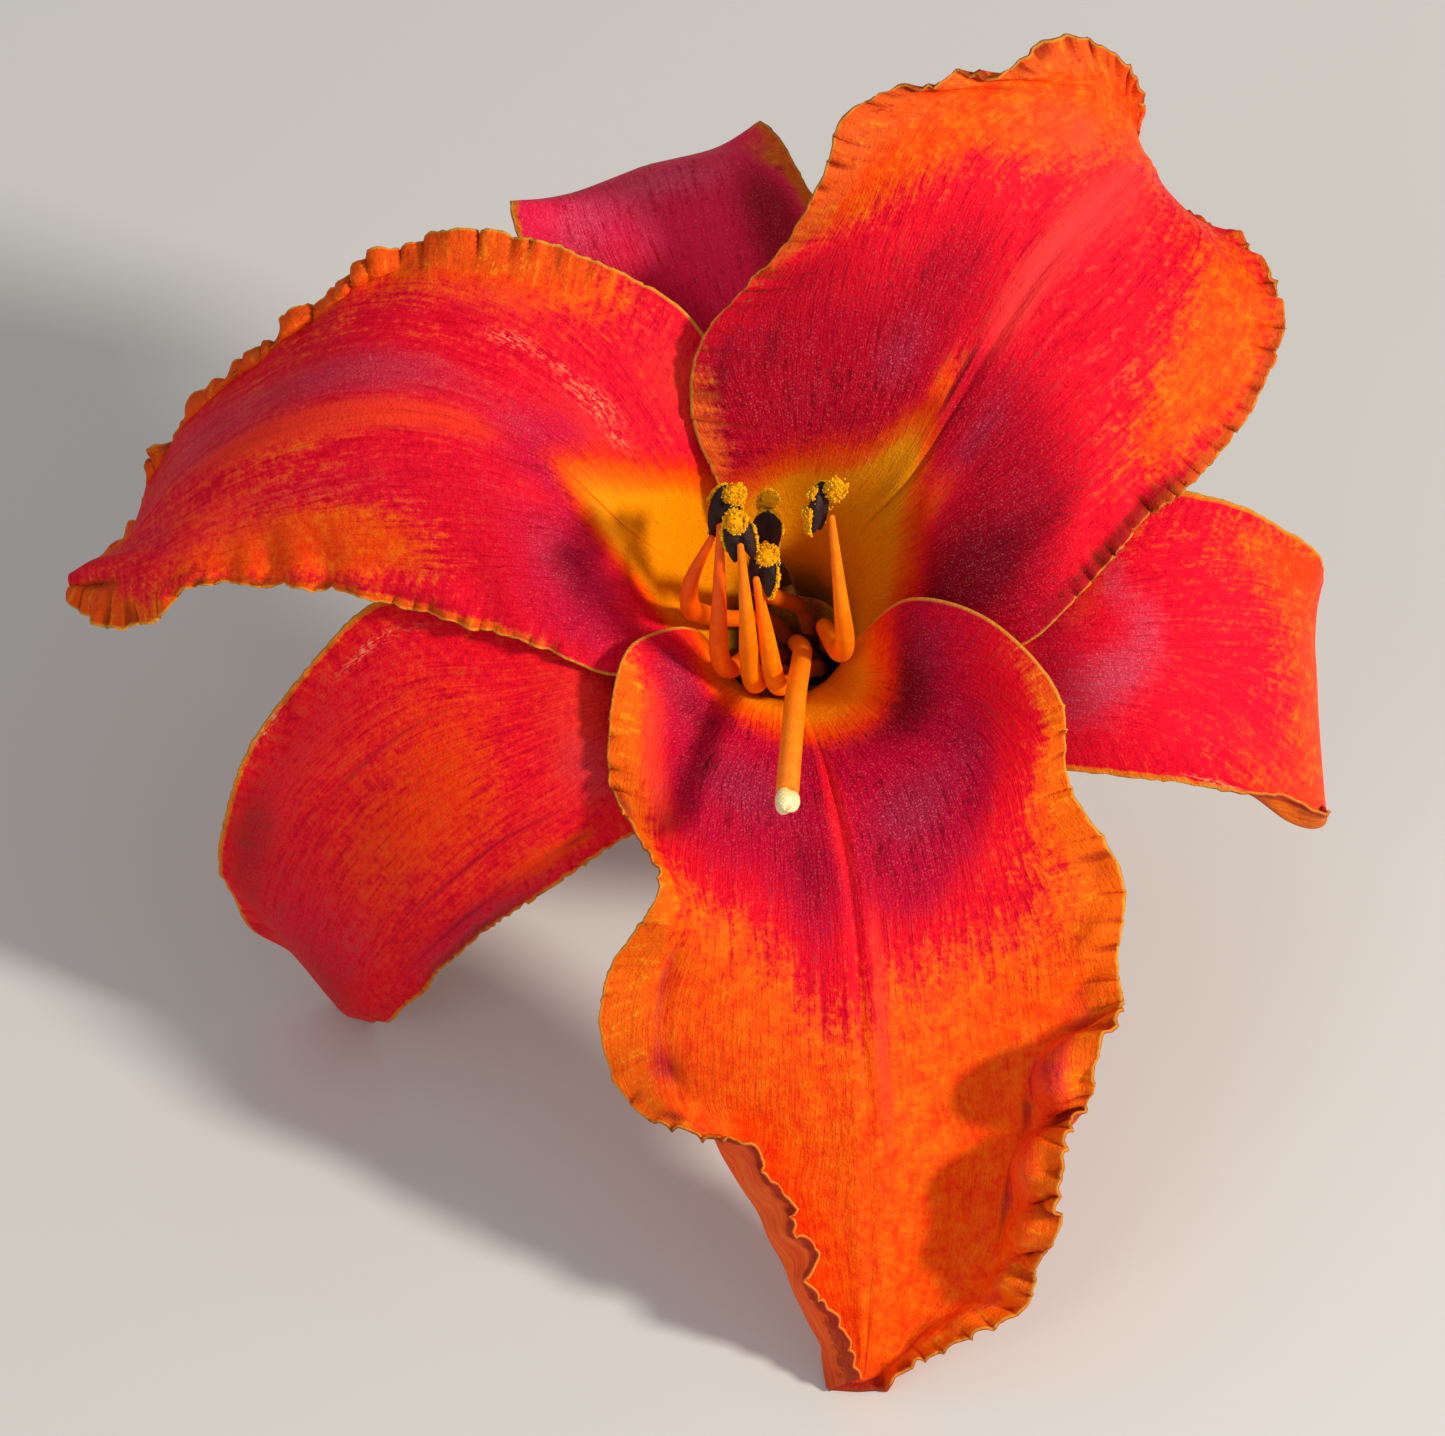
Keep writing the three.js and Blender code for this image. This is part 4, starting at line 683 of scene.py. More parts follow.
# Closed blade: two faces split alike and a rim. Its thickness falls with the square of the way across, and
# the rib is thicker towards the foot. The grain numbers the way across, fanned out from the foot, and along.
def bladePiece(name, shape, foot, rows, columns):
    middle, u, v, station, toEdge, valleyShade, hem = bladeSurface(shape, foot, rows, columns)
    normals = gridNormals(middle)
    thick = bladeBody["thick"] - bladeBody["edgeThinner"] * v**2
    thick = thick + bladeBody["ribThicker"] * np.exp(-((v / bladeBody["ribWide"]) ** 2)) * (1 - u)
    front = liftToFloor(middle + normals * bladeBody["front"], 0.0)
    back = liftToFloor(middle + normals * (bladeBody["front"] - thick)[..., None], 0.0)
    points = np.concatenate([front.reshape(-1, 3), back.reshape(-1, 3)])
    index = np.arange(v.size).reshape(v.shape)
    a, b, c, d = index[:-1, :-1], index[:-1, 1:], index[1:, 1:], index[1:, :-1]
    top = np.stack([a, d, c, b], axis=-1).reshape(-1, 4)
    bottom = np.stack([a, b, c, d], axis=-1).reshape(-1, 4) + index.size
    rim = np.concatenate([index[0, :-1], index[:-1, -1], index[-1, :0:-1], index[:0:-1, 0]])
    after = np.roll(rim, -1)
    sides = np.stack([rim, after, after + index.size, rim + index.size], axis=-1)
    run = np.broadcast_to(wayAlong(middle[:, columns // 2])[:, None], v.shape)
    vein = v / (bladeBody["veinFoot"] + (1 - bladeBody["veinFoot"]) * u)
    grain = np.stack([vein * bladeBody["veinSpread"], run, v * bladeBody["veinSpread"]], axis=-1)
    masks = zoneMasks(shape["zones"], station, v, toEdge)
    masks["toEdge"] = toEdge
    # Painted shade of the pleats' valleys and dents, by the blade's strength.
    masks["creaseShade"] = np.clip(valleyShade * shape["creaseShade"], 0, 1)
    attributes = {key: np.tile(values.ravel(), 2) for key, values in masks.items()}
    attributes["grain"] = np.tile(grain.reshape(-1, 3), (2, 1))
    attributes["hem"] = np.tile(hem.reshape(-1, 3), (2, 1))
    attributes["front"] = np.repeat([1.0, 0.0], index.size)
    piece = meshObject(name, points, [top, bottom, sides], attributes)
    print(name, "made:", len(piece.data.polygons), "faces")
    return piece


# Hex code to linear light: a share p of 255 gives ((p + 0.055) / 1.055)^2.4, or p / 12.92 where it is small.
def colour(code):
    parts = [int(code[i:i + 2], 16) / 255 for i in (1, 3, 5)]
    return tuple(p / 12.92 if p <= 0.04045 else ((p + 0.055) / 1.055) ** 2.4 for p in parts) + (1.0,)


# One shader node: values given as sockets are linked, the others are set on the inputs.
def shade(tree, kind, values=None, **settings):
    made = tree.nodes.new(kind)
    for key, value in settings.items():
        setattr(made, key, value)
    for key, value in (values or {}).items():
        if isinstance(value, bpy.types.NodeSocket):
            tree.links.new(value, made.inputs[key])
        else:
            made.inputs[key].default_value = value
    return made


# Empty material and its node tree.
def newMaterial(name):
    material = bpy.data.materials.new(name)
    material.use_nodes = True
    material.node_tree.nodes.clear()
    return material, material.node_tree


# Two colours: first * (1 - factor) + second * factor, or as another blend mode mixes them.
def mixed(tree, factor, first, second, blend="MIX"):
    values = {0: factor, 6: first, 7: second}
    return shade(tree, "ShaderNodeMix", values, data_type="RGBA", blend_type=blend).outputs[2]


# A calculation on two or three values.
def sums(tree, operation, first, second, third=None):
    values = {0: first, 1: second}
    if third is not None:
        values[2] = third
    return shade(tree, "ShaderNodeMath", values, operation=operation).outputs[0]


# A value that the mesh carries at each of its points.
def mask(tree, name):
    return shade(tree, "ShaderNodeAttribute", attribute_name=name).outputs["Fac"]


# Soft noise about 0.5.
def noise(tree, vector, scale, detail, rough):
    values = {"Vector": vector, "Scale": scale, "Detail": detail, "Roughness": rough}
    return shade(tree, "ShaderNodeTexNoise", values).outputs["Fac"]


# Way of a value from low to high as 0 to 1, straight or with soft ends.
def ranged(tree, value, low, high, curve="LINEAR"):
    values = {"Value": value, "From Min": low, "From Max": high}
    return shade(tree, "ShaderNodeMapRange", values, interpolation_type=curve).outputs["Result"]


# A mask whose soft edge breaks up with a noise: step from low to high of mask + (noise - 0.5) * amount, all
# of it times a share.
def broken(tree, value, pattern, amount, low, high, share=1.0):
    shifted = sums(tree, "ADD", value, sums(tree, "MULTIPLY_ADD", pattern, amount, -0.5 * amount))
    cover = ranged(tree, shifted, low, high, "SMOOTHSTEP")
    return cover if share == 1 else sums(tree, "MULTIPLY", cover, share)


# Relief on a surface or on an earlier relief: height * distance, by its strength.
def bump(tree, height, distance, strength, normal=None):
    values = {"Height": height, "Distance": distance, "Strength": strength}
    if normal is not None:
        values["Normal"] = normal
    return shade(tree, "ShaderNodeBump", values).outputs[0]


# The surface of a material; the uniform values are set on its own inputs.
def finished(tree, base, roughness, normal=None, uniform=None):
    values = {"Base Color": base, "Roughness": roughness}
    if normal is not None:
        values["Normal"] = normal
    surface = shade(tree, "ShaderNodeBsdfPrincipled", values)
    for key, value in (uniform or {}).items():
        surface.inputs[key].default_value = value
    shade(tree, "ShaderNodeOutputMaterial", {"Surface": surface.outputs[0]})


# Finish of the blades, depths in metres. veinShade and sparkle: how much more in the eye, and how much
# everywhere; rim: start and end in from the edge in mm, share; backEdge and margin: start and end.
bladeFinish = {
    "rough": 0.5, "gloss": 0.06, "subsurface": 0.05, "relief": 0.00045, "grit": 0.00017, "pores": 0.00008,
    "cells": 3600.0, "veinShade": (0.2, 0.13), "sparkle": (0.07, 0.008), "sparkleTint": "#ffd9c0",
    "rim": (0.42, 0.16, 0.85), "backFoot": "#8a8a2a", "backEdge": (2.6, 0.5), "margin": (9.0, 2.5),
}
# Noises drawn out along the veins, or along the edge: attribute, stretch, detail and roughness.
veinNoise = {
    "streak": ("grain", (1.3, 0.15, 0.3), 4.0, 0.66),
    "fine": ("grain", (3.8, 0.34, 0.6), 3.0, 0.62),
    "ray": ("hem", (0.95, 0.14, 5.0), 4.0, 0.62),
    "fleckDash": ("grain", (4.0, 0.9, 1.0), 2.0, 0.5),
}
# Noises with no direction: scale, detail and roughness.
cellNoise = {"blotch": (520.0, 4.0, 0.64), "grit": (1500.0, 3.0, 0.65), "speck": (5200.0, 1.0, 0.5)}
# Mottled colours: a pattern, tints from its low to its high values, and where each step lies.
mottling = {
    "redBody": ("mixed", ("deepRed", "red", "coral"), ((0.4, 0.5), (0.52, 0.64))),
    "orangeBody": ("mottle", ("ember", "orange", "flame"), ((0.38, 0.52), (0.48, 0.66))),
    "eyeBand": ("mixed", ("wine", "crimson"), ((0.36, 0.5),)),
    "hemBand": ("rays", ("hem", "margin", "gold"), ((0.36, 0.47), (0.52, 0.64))),
}
# Layers of the face, first to last: mask, pattern that breaks up its border, by how much, where the border
# lies, share and colour.
# The crease layer paints shade in the pleats' valleys and dents.
# The dusk layer is a dusky tone, partly painted shade on shadowed places, lip walls and ends bending away.
# The plum layer is partly a painted sheen and carries painted glints.
faceLayers = (
    ("warm", "mixed", 1.9, 0.25, 0.75, 1, "orangeBody"), ("coral", "mixed", 1.2, 0.1, 0.9, 1, "coral"),
    ("eye", "mixed", 2.1, 0.15, 0.85, 1, "eyeBand"), ("wine", "mixed", 1.3, 0.15, 0.85, 1, "wine"),
    ("rib", "mixed", 0.8, 0.1, 0.9, 0.75, "rib"), ("plum", "mixed", 1.2, 0.15, 0.85, 0.72, "plumWithGlints"),
    ("margin", "mixed", 1.5, 0.2, 0.8, 1, "hemBand"), ("creaseShade", "ray", 0.7, 0.1, 0.7, 0.8, "foldShade"),
    ("duskAndShade", "mixed", 1.0, 0.2, 0.8, 0.75, "duskAndShade"),
)
throatLayers = (
    ("throat", "mixed", 1.0, 0.05, 0.5, 1, "fringe"), ("throat", "mixed", 0.8, 0.3, 0.7, 1, "glow"),
    ("throat", "streak", 0.3, 0.6, 1.0, 1, "yellow"),
)


# The noises of a blade and their mixtures: lines run along the veins, and beside an edge across the margin.
def bladePatterns(tree):
    patterns = {"toEdge": mask(tree, "toEdge")}
    for key, (attribute, stretch, detail, rough) in veinNoise.items():
        vector = shade(tree, "ShaderNodeAttribute", attribute_name=attribute).outputs["Vector"]
        drawn = shade(tree, "ShaderNodeVectorMath", {0: vector, 1: stretch}, operation="MULTIPLY").outputs[0]
        patterns[key] = noise(tree, drawn, 1.0, detail, rough)
    place = shade(tree, "ShaderNodeTexCoord").outputs["Object"]
    for key, (scale, detail, rough) in cellNoise.items():
        patterns[key] = noise(tree, place, scale, detail, rough)
    cells = shade(tree, "ShaderNodeTexVoronoi", {"Vector": place, "Scale": bladeFinish["cells"]})
    patterns["cells"] = cells.outputs["Distance"]
    streak, ray, blotch, grit = (patterns[key] for key in ("streak", "ray", "blotch", "grit"))
    near = ranged(tree, patterns["toEdge"], *bladeFinish["margin"])
    turned = sums(tree, "MULTIPLY", near, sums(tree, "SUBTRACT", ray, streak))
    lines = patterns["lines"] = sums(tree, "ADD", streak, turned)
    pebble = sums(tree, "MULTIPLY_ADD", blotch, 0.22, sums(tree, "MULTIPLY", grit, 0.4))
    patterns["mixed"] = sums(tree, "MULTIPLY_ADD", lines, 0.48, sums(tree, "SUBTRACT", pebble, 0.05))
    rest = sums(tree, "MULTIPLY_ADD", grit, 0.3, sums(tree, "MULTIPLY", lines, 0.25))
    patterns["mottle"] = sums(tree, "MULTIPLY_ADD", blotch, 0.45, rest)
    patterns["rays"] = sums(tree, "MULTIPLY_ADD", ray, 0.6, sums(tree, "MULTIPLY", grit, 0.4))
    return patterns


# Layers over a colour, each under its own mask with a broken border.
def layered(tree, layers, under, patterns, tones):
    for name, pattern, amount, low, high, share, tone in layers:
        cover = broken(tree, mask(tree, name), patterns[pattern], amount, low, high, share)
        under = mixed(tree, cover, under, tones[tone])
    return under


# The face: a mottled red body, and over it the layers of the face, pale flecks, the yellow throat with its
# fringes and its deep foot, which is partly painted shade, fine darker veins, painted glints of single cells
# and a thin pale rim.
def bladeFace(tree, patterns, tints):
    tones = {key: colour(code) for key, code in tints.items()}
    for key, (pattern, names, steps) in mottling.items():
        tones[key] = tones[names[0]]
        for name, (low, high) in zip(names[1:], steps):
            step = ranged(tree, patterns[pattern], low, high, "SMOOTHSTEP")
            tones[key] = mixed(tree, step, tones[key], tones[name])
    # Plum with painted glints on single cells; the plum tone is partly a painted sheen.
    glint = sums(tree, "MULTIPLY", ranged(tree, patterns["speck"], 0.56, 0.68, "SMOOTHSTEP"), 0.35)
    tones["plumWithGlints"] = mixed(tree, glint, tones["plum"], tones["glint"])

    face = layered(tree, faceLayers, tones["redBody"], patterns, tones)
    # Pale flecks where a dash noise along the veins runs high, inside the fleck mask.
    paleFlecks = broken(tree, patterns["fleckDash"], patterns["grit"], 0.8, 0.5, 0.62)
    face = mixed(tree, sums(tree, "MULTIPLY", mask(tree, "fleck"), paleFlecks), face, tones["fleck"])
    face = layered(tree, throatLayers, face, patterns, tones)
    # The foot in the deep tint: an olive tone, partly painted shade of the throat's hollow.
    # The lower petal's lighter deep tint is painted light.
    face = mixed(tree, mask(tree, "deep"), face, tones["deep"])
    veins = broken(tree, patterns["fine"], patterns["streak"], 0.5, 0.34, 0.46)
    shadow = sums(tree, "MULTIPLY_ADD", mask(tree, "eye"), *bladeFinish["veinShade"])
    shadow = sums(tree, "MULTIPLY", sums(tree, "SUBTRACT", 1.0, veins), shadow)
    face = mixed(tree, shadow, face, tones["wine"], "MULTIPLY")
    light = sums(tree, "MULTIPLY_ADD", mask(tree, "eye"), *bladeFinish["sparkle"])
    sparkle = broken(tree, patterns["speck"], patterns["fine"], 0.3, 0.58, 0.72)
    sparkle = sums(tree, "MULTIPLY", sparkle, light)
    face = mixed(tree, sparkle, face, colour(bladeFinish["sparkleTint"]), "SCREEN")
    inside, outside, share = bladeFinish["rim"]
    rim = sums(tree, "MULTIPLY", ranged(tree, patterns["toEdge"], inside, outside), share)
    return mixed(tree, rim, face, tones["rim"])


# The back: its own tint with veins, darker towards the edges, green at the foot and dusky where the face is.
def bladeBack(tree, patterns, tints):
    veins = broken(tree, patterns["streak"], patterns["fine"], 0.6, 0.3, 0.7)
    back = mixed(tree, veins, colour(tints["back"]), colour(tints["backVein"]))
    inner = ranged(tree, patterns["toEdge"], *bladeFinish["backEdge"])
    outer = broken(tree, inner, patterns["mottle"], 2.0, 0.3, 0.75, 0.6)
    back = mixed(tree, outer, back, colour(tints["wine"]))
    back = mixed(tree, mask(tree, "deep"), back, colour(bladeFinish["backFoot"]))
    # The dusk spots darken the back too: a dusky tone, partly painted shade.
    return mixed(tree, sums(tree, "MULTIPLY", mask(tree, "duskAndShade"), 0.6), back, colour(tints["duskAndShade"]))


# Blade tissue: the face and the back, with veins, grit and single cells in the bump.
def bladeMaterial(name, tints):
    material, tree = newMaterial(name)
    patterns = bladePatterns(tree)
    back, face = bladeBack(tree, patterns, tints), bladeFace(tree, patterns, tints)
    base = mixed(tree, mask(tree, "front"), back, face)
    ridges = sums(tree, "MULTIPLY_ADD", patterns["lines"], 0.6, sums(tree, "MULTIPLY", patterns["fine"], 0.4))
    relief = bump(tree, ridges, bladeFinish["relief"], 0.8)
    pebbles = bump(tree, patterns["grit"], bladeFinish["grit"], 0.8, relief)
    pores = bump(tree, patterns["cells"], bladeFinish["pores"], 0.6, pebbles)
    rough = sums(tree, "MULTIPLY_ADD", patterns["blotch"], 0.16, bladeFinish["rough"] - 0.08)
    finished(tree, base, rough, pores, {
        "Subsurface Weight": bladeFinish["subsurface"], "Subsurface Scale": 0.0012,
        "Specular IOR Level": bladeFinish["gloss"],
    })
    return material


# Plain tissue or grain: a tint along the piece by the "run" value, mottled by noise, with a fine bump.
def tissueMaterial(name, tints, scale, rough, relief, subsurface=0.1, gloss=0.4):
    material, tree = newMaterial(name)
    place = shade(tree, "ShaderNodeTexCoord").outputs["Object"]
    mottle = noise(tree, place, scale, 3.0, 0.6)
    small = noise(tree, place, scale * 4, 2.0, 0.5)
    run = broken(tree, mask(tree, "run"), mottle, 0.35, 0.0, 1.0)
    base = mixed(tree, run, colour(tints[0]), colour(tints[1]))
    darker = mixed(tree, 0.55, base, colour(tints[2]))
    base = mixed(tree, broken(tree, mottle, small, 0.6, 0.35, 0.7), base, darker)
    roughness = sums(tree, "MULTIPLY_ADD", small, 0.2, rough - 0.1)
    finished(tree, base, roughness, bump(tree, small, relief, 0.8), {
        "Subsurface Weight": subsurface, "Subsurface Scale": 0.0008, "Specular IOR Level": gloss,
    })
    return material


# Angles once round a ring.
def ringAngles(sides):
    return np.linspace(0, 2 * np.pi, sides, endpoint=False)


# Ways out from the middle of a ring: first * cos(angle) + second * sin(angle), one for each of its sides.
def ringWays(sides, first, second):
    angle = ringAngles(sides)[:, None]
    return np.cos(angle) * first + np.sin(angle) * second


# Angles of an egg's rings from pole to pole; the first and last ring are small flat faces.
def ringPoles(rings):
    return np.linspace(0.03, np.pi - 0.03, rings)[:, None]


# Faces between rings of points that wrap round, and a flat face on the first and on the last ring.
def ringBlocks(rings, sides):
    index = np.arange(rings * sides).reshape(rings, sides)
    around = np.roll(index, -1, axis=1)
    quads = np.stack([index[:-1], around[:-1], around[1:], index[1:]], axis=-1).reshape(-1, 4)
    return [quads, index[0][::-1][None], index[-1][None]]


# Closed skin over rings of points, each ring with its "run" value for the material.
def wrapPiece(name, rings, run):
    count, sides = rings.shape[:2]
    return meshObject(name, rings.reshape(-1, 3), ringBlocks(count, sides), {"run": np.repeat(run, sides)})


# Rod of round section along a smooth path: the radius goes smoothly through its values and rounds off at
# both ends like a ball; section ribs swell it by depth * cos(count * angle). Its rings lie closer at the
# ends, at even - closer * sin(2 pi * even) / 2 pi.
def rodPiece(name, path, radii, rings, sides, ribs=(0, 0.0), ends=(1.0, 1.0)):
    closer, smallest = 0.9, 0.04
    even = np.linspace(0, 1, rings + 1)
    t = even - closer * np.sin(2 * np.pi * even) / (2 * np.pi)
    centres = spline(path, t)
    run = wayAlong(centres)
    heading = unit(np.gradient(centres, axis=0))
    across = unit(np.array([1.0, 0.0, 0.0]) - heading * heading[:, :1])
    beside = np.cross(heading, across)
    radius = spline(radii, t)
    for off, rounding in zip((run, run[-1] - run), ends):
        near = np.clip(off / (radius * rounding + 1e-9), 0, 1)
        radius = radius * np.maximum(np.sqrt(1 - (1 - near) ** 2), smallest)
    spread = radius[:, None] * (1 + ribs[1] * np.cos(ribs[0] * ringAngles(sides)))
    points = centres[:, None] + spread[..., None] * ringWays(sides, across[:, None], beside[:, None])
    return wrapPiece(name, liftToFloor(points, 0.0), t)


# Rings of an egg about a centre, blunt at both ends: its length along, its width across and lumps that swell
# it by products of sines.
def eggRings(centre, along, side, length, width, rings, sides, lumpy=0.0, seed=1.0):
    polar, angle = ringPoles(rings), ringAngles(sides)
    lump = 1 + lumpy * np.sin(5 * np.cos(polar) + seed) * np.sin(3 * angle + 2 * seed + 2 * polar)
    lump = lump + 0.6 * lumpy * np.sin(11 * np.cos(polar) + 2 * seed) * np.cos(5 * angle + seed)
    girth = np.sin(polar) ** 0.75 * lump * width / 2
    points = centre - (np.cos(polar) * length / 2)[..., None] * along
    return points + girth[..., None] * ringWays(sides, side, np.cross(along, side))


# Many small twenty-sided grains, one at each centre.
def grainCloud(centres, sizes, squash):
    golden = (1 + math.sqrt(5)) / 2
    corners = np.array([
        (-1, golden, 0), (1, golden, 0), (-1, -golden, 0), (1, -golden, 0), (0, -1, golden), (0, 1, golden),
        (0, -1, -golden), (0, 1, -golden), (golden, 0, -1), (golden, 0, 1), (-golden, 0, -1), (-golden, 0, 1),
    ]) / math.sqrt(1 + golden**2)
    faces = np.array([
        (0, 11, 5), (0, 5, 1), (0, 1, 7), (0, 7, 10), (0, 10, 11), (1, 5, 9), (5, 11, 4), (11, 10, 2),
        (10, 7, 6), (7, 1, 8), (3, 9, 4), (3, 4, 2), (3, 2, 6), (3, 6, 8), (3, 8, 9), (4, 9, 5), (2, 4, 11),
        (6, 2, 10), (8, 6, 7), (9, 8, 1),
    ])
    points = centres[:, None] + sizes[:, None, None] * corners * squash[:, None, :]
    every = faces + len(corners) * np.arange(len(centres))[:, None, None]
    return points.reshape(-1, 3), every.reshape(-1, 3)


blades = (
    ("petal_lower", petalLower, petalFoot, 340, 100),
    ("petal_left", petalLeft, petalFoot, 340, 100),
    ("petal_upper", petalUpper, petalFoot, 340, 100),
    ("sepal_right", sepalRight, sepalFoot, 160, 80),
    ("sepal_left", sepalLeft, sepalFoot, 160, 80),
    ("sepal_top", sepalTop, sepalFoot, 160, 80),
)
for node, shape, foot, rows, columns in blades:
    skin = bladeMaterial(node + "_tissue", shape["tints"])
    declare(bladePiece(node + "_blade", shape, foot, rows, columns), node, skin)
print("petals and sepals made")

tubeShape = {
    "profile": (
        (0.05, -29), (1.9, -28.9), (3.1, -28.4), (3.6, -26.5), (3.8, -23), (3.9, -18), (4.3, -14), (4.9, -10),
        (5.7, -7), (6.6, -4.2), (7.6, -1.8), (8.0, -0.6), (7.9, -0.1), (7.2, 0.0), (6.2, -0.1), (5.5, -0.5),
        (4.7, -2.4), (3.8, -4.6), (3.2, -6.5), (2.8, -10), (2.7, -16), (2.7, -21), (2.4, -25), (1.4, -26.2),
        (0.05, -26.4),
    ),
    "ribs": (6, 0.035), "rings": 181, "sides": 96, "tints": ("#7d8a2c", "#e8941c", "#5a6a1c"),
}


# Funnel turned about the tube's axis; below the rim ribs swell its outside by depth * cos(count * angle).
def tubePiece(values):
    t = np.linspace(0, 1, values["rings"])
    radius, height = spline(values["profile"], t).T
    outside = t < 0.5
    count, depth = values["ribs"]
    swell = depth * (smooth(t, 0.05, 0.2) * outside)[:, None] * np.cos(count * ringAngles(values["sides"]))
    girth = radius[:, None] * (1 + swell)
    points = tubeAxis * height[:, None, None]
    points = points + girth[..., None] * ringWays(values["sides"], tubeEast, tubeNorth)
    return wrapPiece("tube_funnel", points, smooth(height, -27, -2) * np.where(outside, 0.4, 1.0))


tubeTissue = tissueMaterial("tube_tissue", tubeShape["tints"], 420, 0.5, 0.0001)
declare(tubePiece(tubeShape), "perianth_tube", tubeTissue)

ovaryShape = {
    "width": 4.0, "length": 7.0, "foot": -26.1, "lobes": (3, 0.1), "rings": 48, "sides": 60,
    "tints": ("#7f9a34", "#a9b85a", "#5f7a26"),
}


# Ovary: an egg with lobes, its rings narrowed to 1 - depth + depth * cos(count * angle).
def ovaryPiece(values):
    centre = tubeAxis * (values["foot"] + values["length"] / 2)
    count, depth = values["lobes"]
    sizes = [values[key] for key in ("length", "width", "rings", "sides")]
    rings = eggRings(centre, tubeAxis, tubeEast, *sizes)
    middle = rings.mean(axis=1, keepdims=True)
    lobed = 1 - depth + depth * np.cos(count * ringAngles(values["sides"]))
    return wrapPiece("ovary_body", middle + (rings - middle) * lobed[:, None], np.linspace(0, 1, len(rings)))


ovaryTissue = tissueMaterial("ovary_tissue", ovaryShape["tints"], 700, 0.5, 0.0001)
declare(ovaryPiece(ovaryShape), "ovary", ovaryTissue)

pedicelShape = {
    "path": ((5.9, -5.9, -28.3), (7.3, -7.2, -34), (11, -9.3, -40.5), (17, -11, -44.9), (24, -11.8, -46.2)),
    "radii": (2.4, 1.9), "tints": ("#7c8c30", "#93a446", "#5d6d22"), "ribs": (7, 0.05), "ends": (0.15, 0.22),
}
pedicelTissue = tissueMaterial("pedicel_tissue", pedicelShape["tints"], 520, 0.55, 0.00012)
pedicel = rodPiece("pedicel_stalk", pedicelShape["path"], pedicelShape["radii"], 90, 48,
                   pedicelShape["ribs"], pedicelShape["ends"])
declare(pedicel, "pedicel", pedicelTissue)
print("tube, ovary and pedicel made")

stamenShape = {
    "filament": (0.85, 0.9, 1.12, 1.0, 0.36), "footRadii": (2.5, 3.9), "footHeights": (-3.6, 3),
    "anther": {
        "width": 3.4, "length": 6.2, "thick": 1.8, "notch": 1.8, "fork": 1.0, "groove": 0.3, "off": 1.55,
        "rings": 90, "sides": 72,
    },
    "clot": {"length": 2.6, "width": 2.3, "lean": 0.84, "reach": 3.35, "body": 0.8, "lumpy": 0.14},
    "grains": 560, "clumps": 15, "spill": 760, "patches": 13, "grainSize": (0.085, 0.17),
    "filamentTints": (("#d86a04", "#fa5402", "#ff7006"), ("#ec7402", "#ff7800", "#ff9206")),
    "antherTints": ("#120504", "#1e0806", "#431612"), "pollenTints": ("#f8a800", "#ffc804", "#e08400"),
}
# Each stamen: foot round the tube, the filament's points up to its tip, the anther's way and its back's,
# how far below its middle the tip holds it, the clot's side, the edge that carries more grains, its tints
# and its coat of pollen, which says how far the grains turn towards the inner face and how thick they lie.
stamens = (
    (140, ((-8, 3, 10), (-11.2, 3.6, 17), (-12.1, 4.4, 22.5), (-11.9, 7.2, 26.5), (-9.6, 11.9, 29.5)),
     (0.3, 0.85, 0.42), (-0.6, -0.25, 0.7), 1.4, (-0.5, -0.2, 0.8), 1, 0, (0.35, 0.2)),
    (195, ((-5.6, -1.2, 10), (-7.8, -2.6, 18.5), (-8.9, -0.8, 24), (-8.9, 4.6, 30.5), (-8.8, 13.1, 36.4)),
     (0.2, 0.9, 0.38), (-0.15, -0.35, 0.9), 1, (0.35, -0.35, 0.87), 1, 0, (0.4, 0.45)),
    (250, ((-3.4, -2.8, 10), (-5, -4.2, 18.4), (-5.6, -1.4, 24.5), (-5.9, 3.2, 32), (-6.6, 10.9, 39.2)),
     (-0.2, 0.9, 0.38), (0.05, -0.38, 0.92), 0, (0.05, -0.4, 0.9), 1, 1, (0.4, 0.35)),
    (305, ((-1, -4, 10), (-2.4, -4.4, 18.2), (-3.1, -2.4, 23), (-3.9, 2, 28.6), (-4.9, 7.3, 35)),
     (0.1, 0.9, 0.42), (-0.45, -0.35, 0.82), 0, (0.15, -0.4, 0.9), 1, 1, (0.5, 0.5)),
    (10, ((2.8, 2, 9), (4.3, -0.7, 17), (4.9, 0.4, 23.5), (4.4, 4.9, 30.3), (3.3, 14, 38.2)),
     (0.12, 0.95, 0.28), (0.92, -0.2, 0.36), 0.4, (0.75, 0.1, 0.5), -1, 1, (1.2, 0.9)),
    (80, ((-3, 5.5, 9), (-4, 6.4, 16), (-4, 8, 22), (-3.9, 9, 27), (-3.9, 10.9, 32)),
     (0.05, 0.7, 0.7), (-0.1, -0.7, 0.7), 0.5, (0, 0.5, -0.8), 1, 0, (0.4, 0.15)),
)


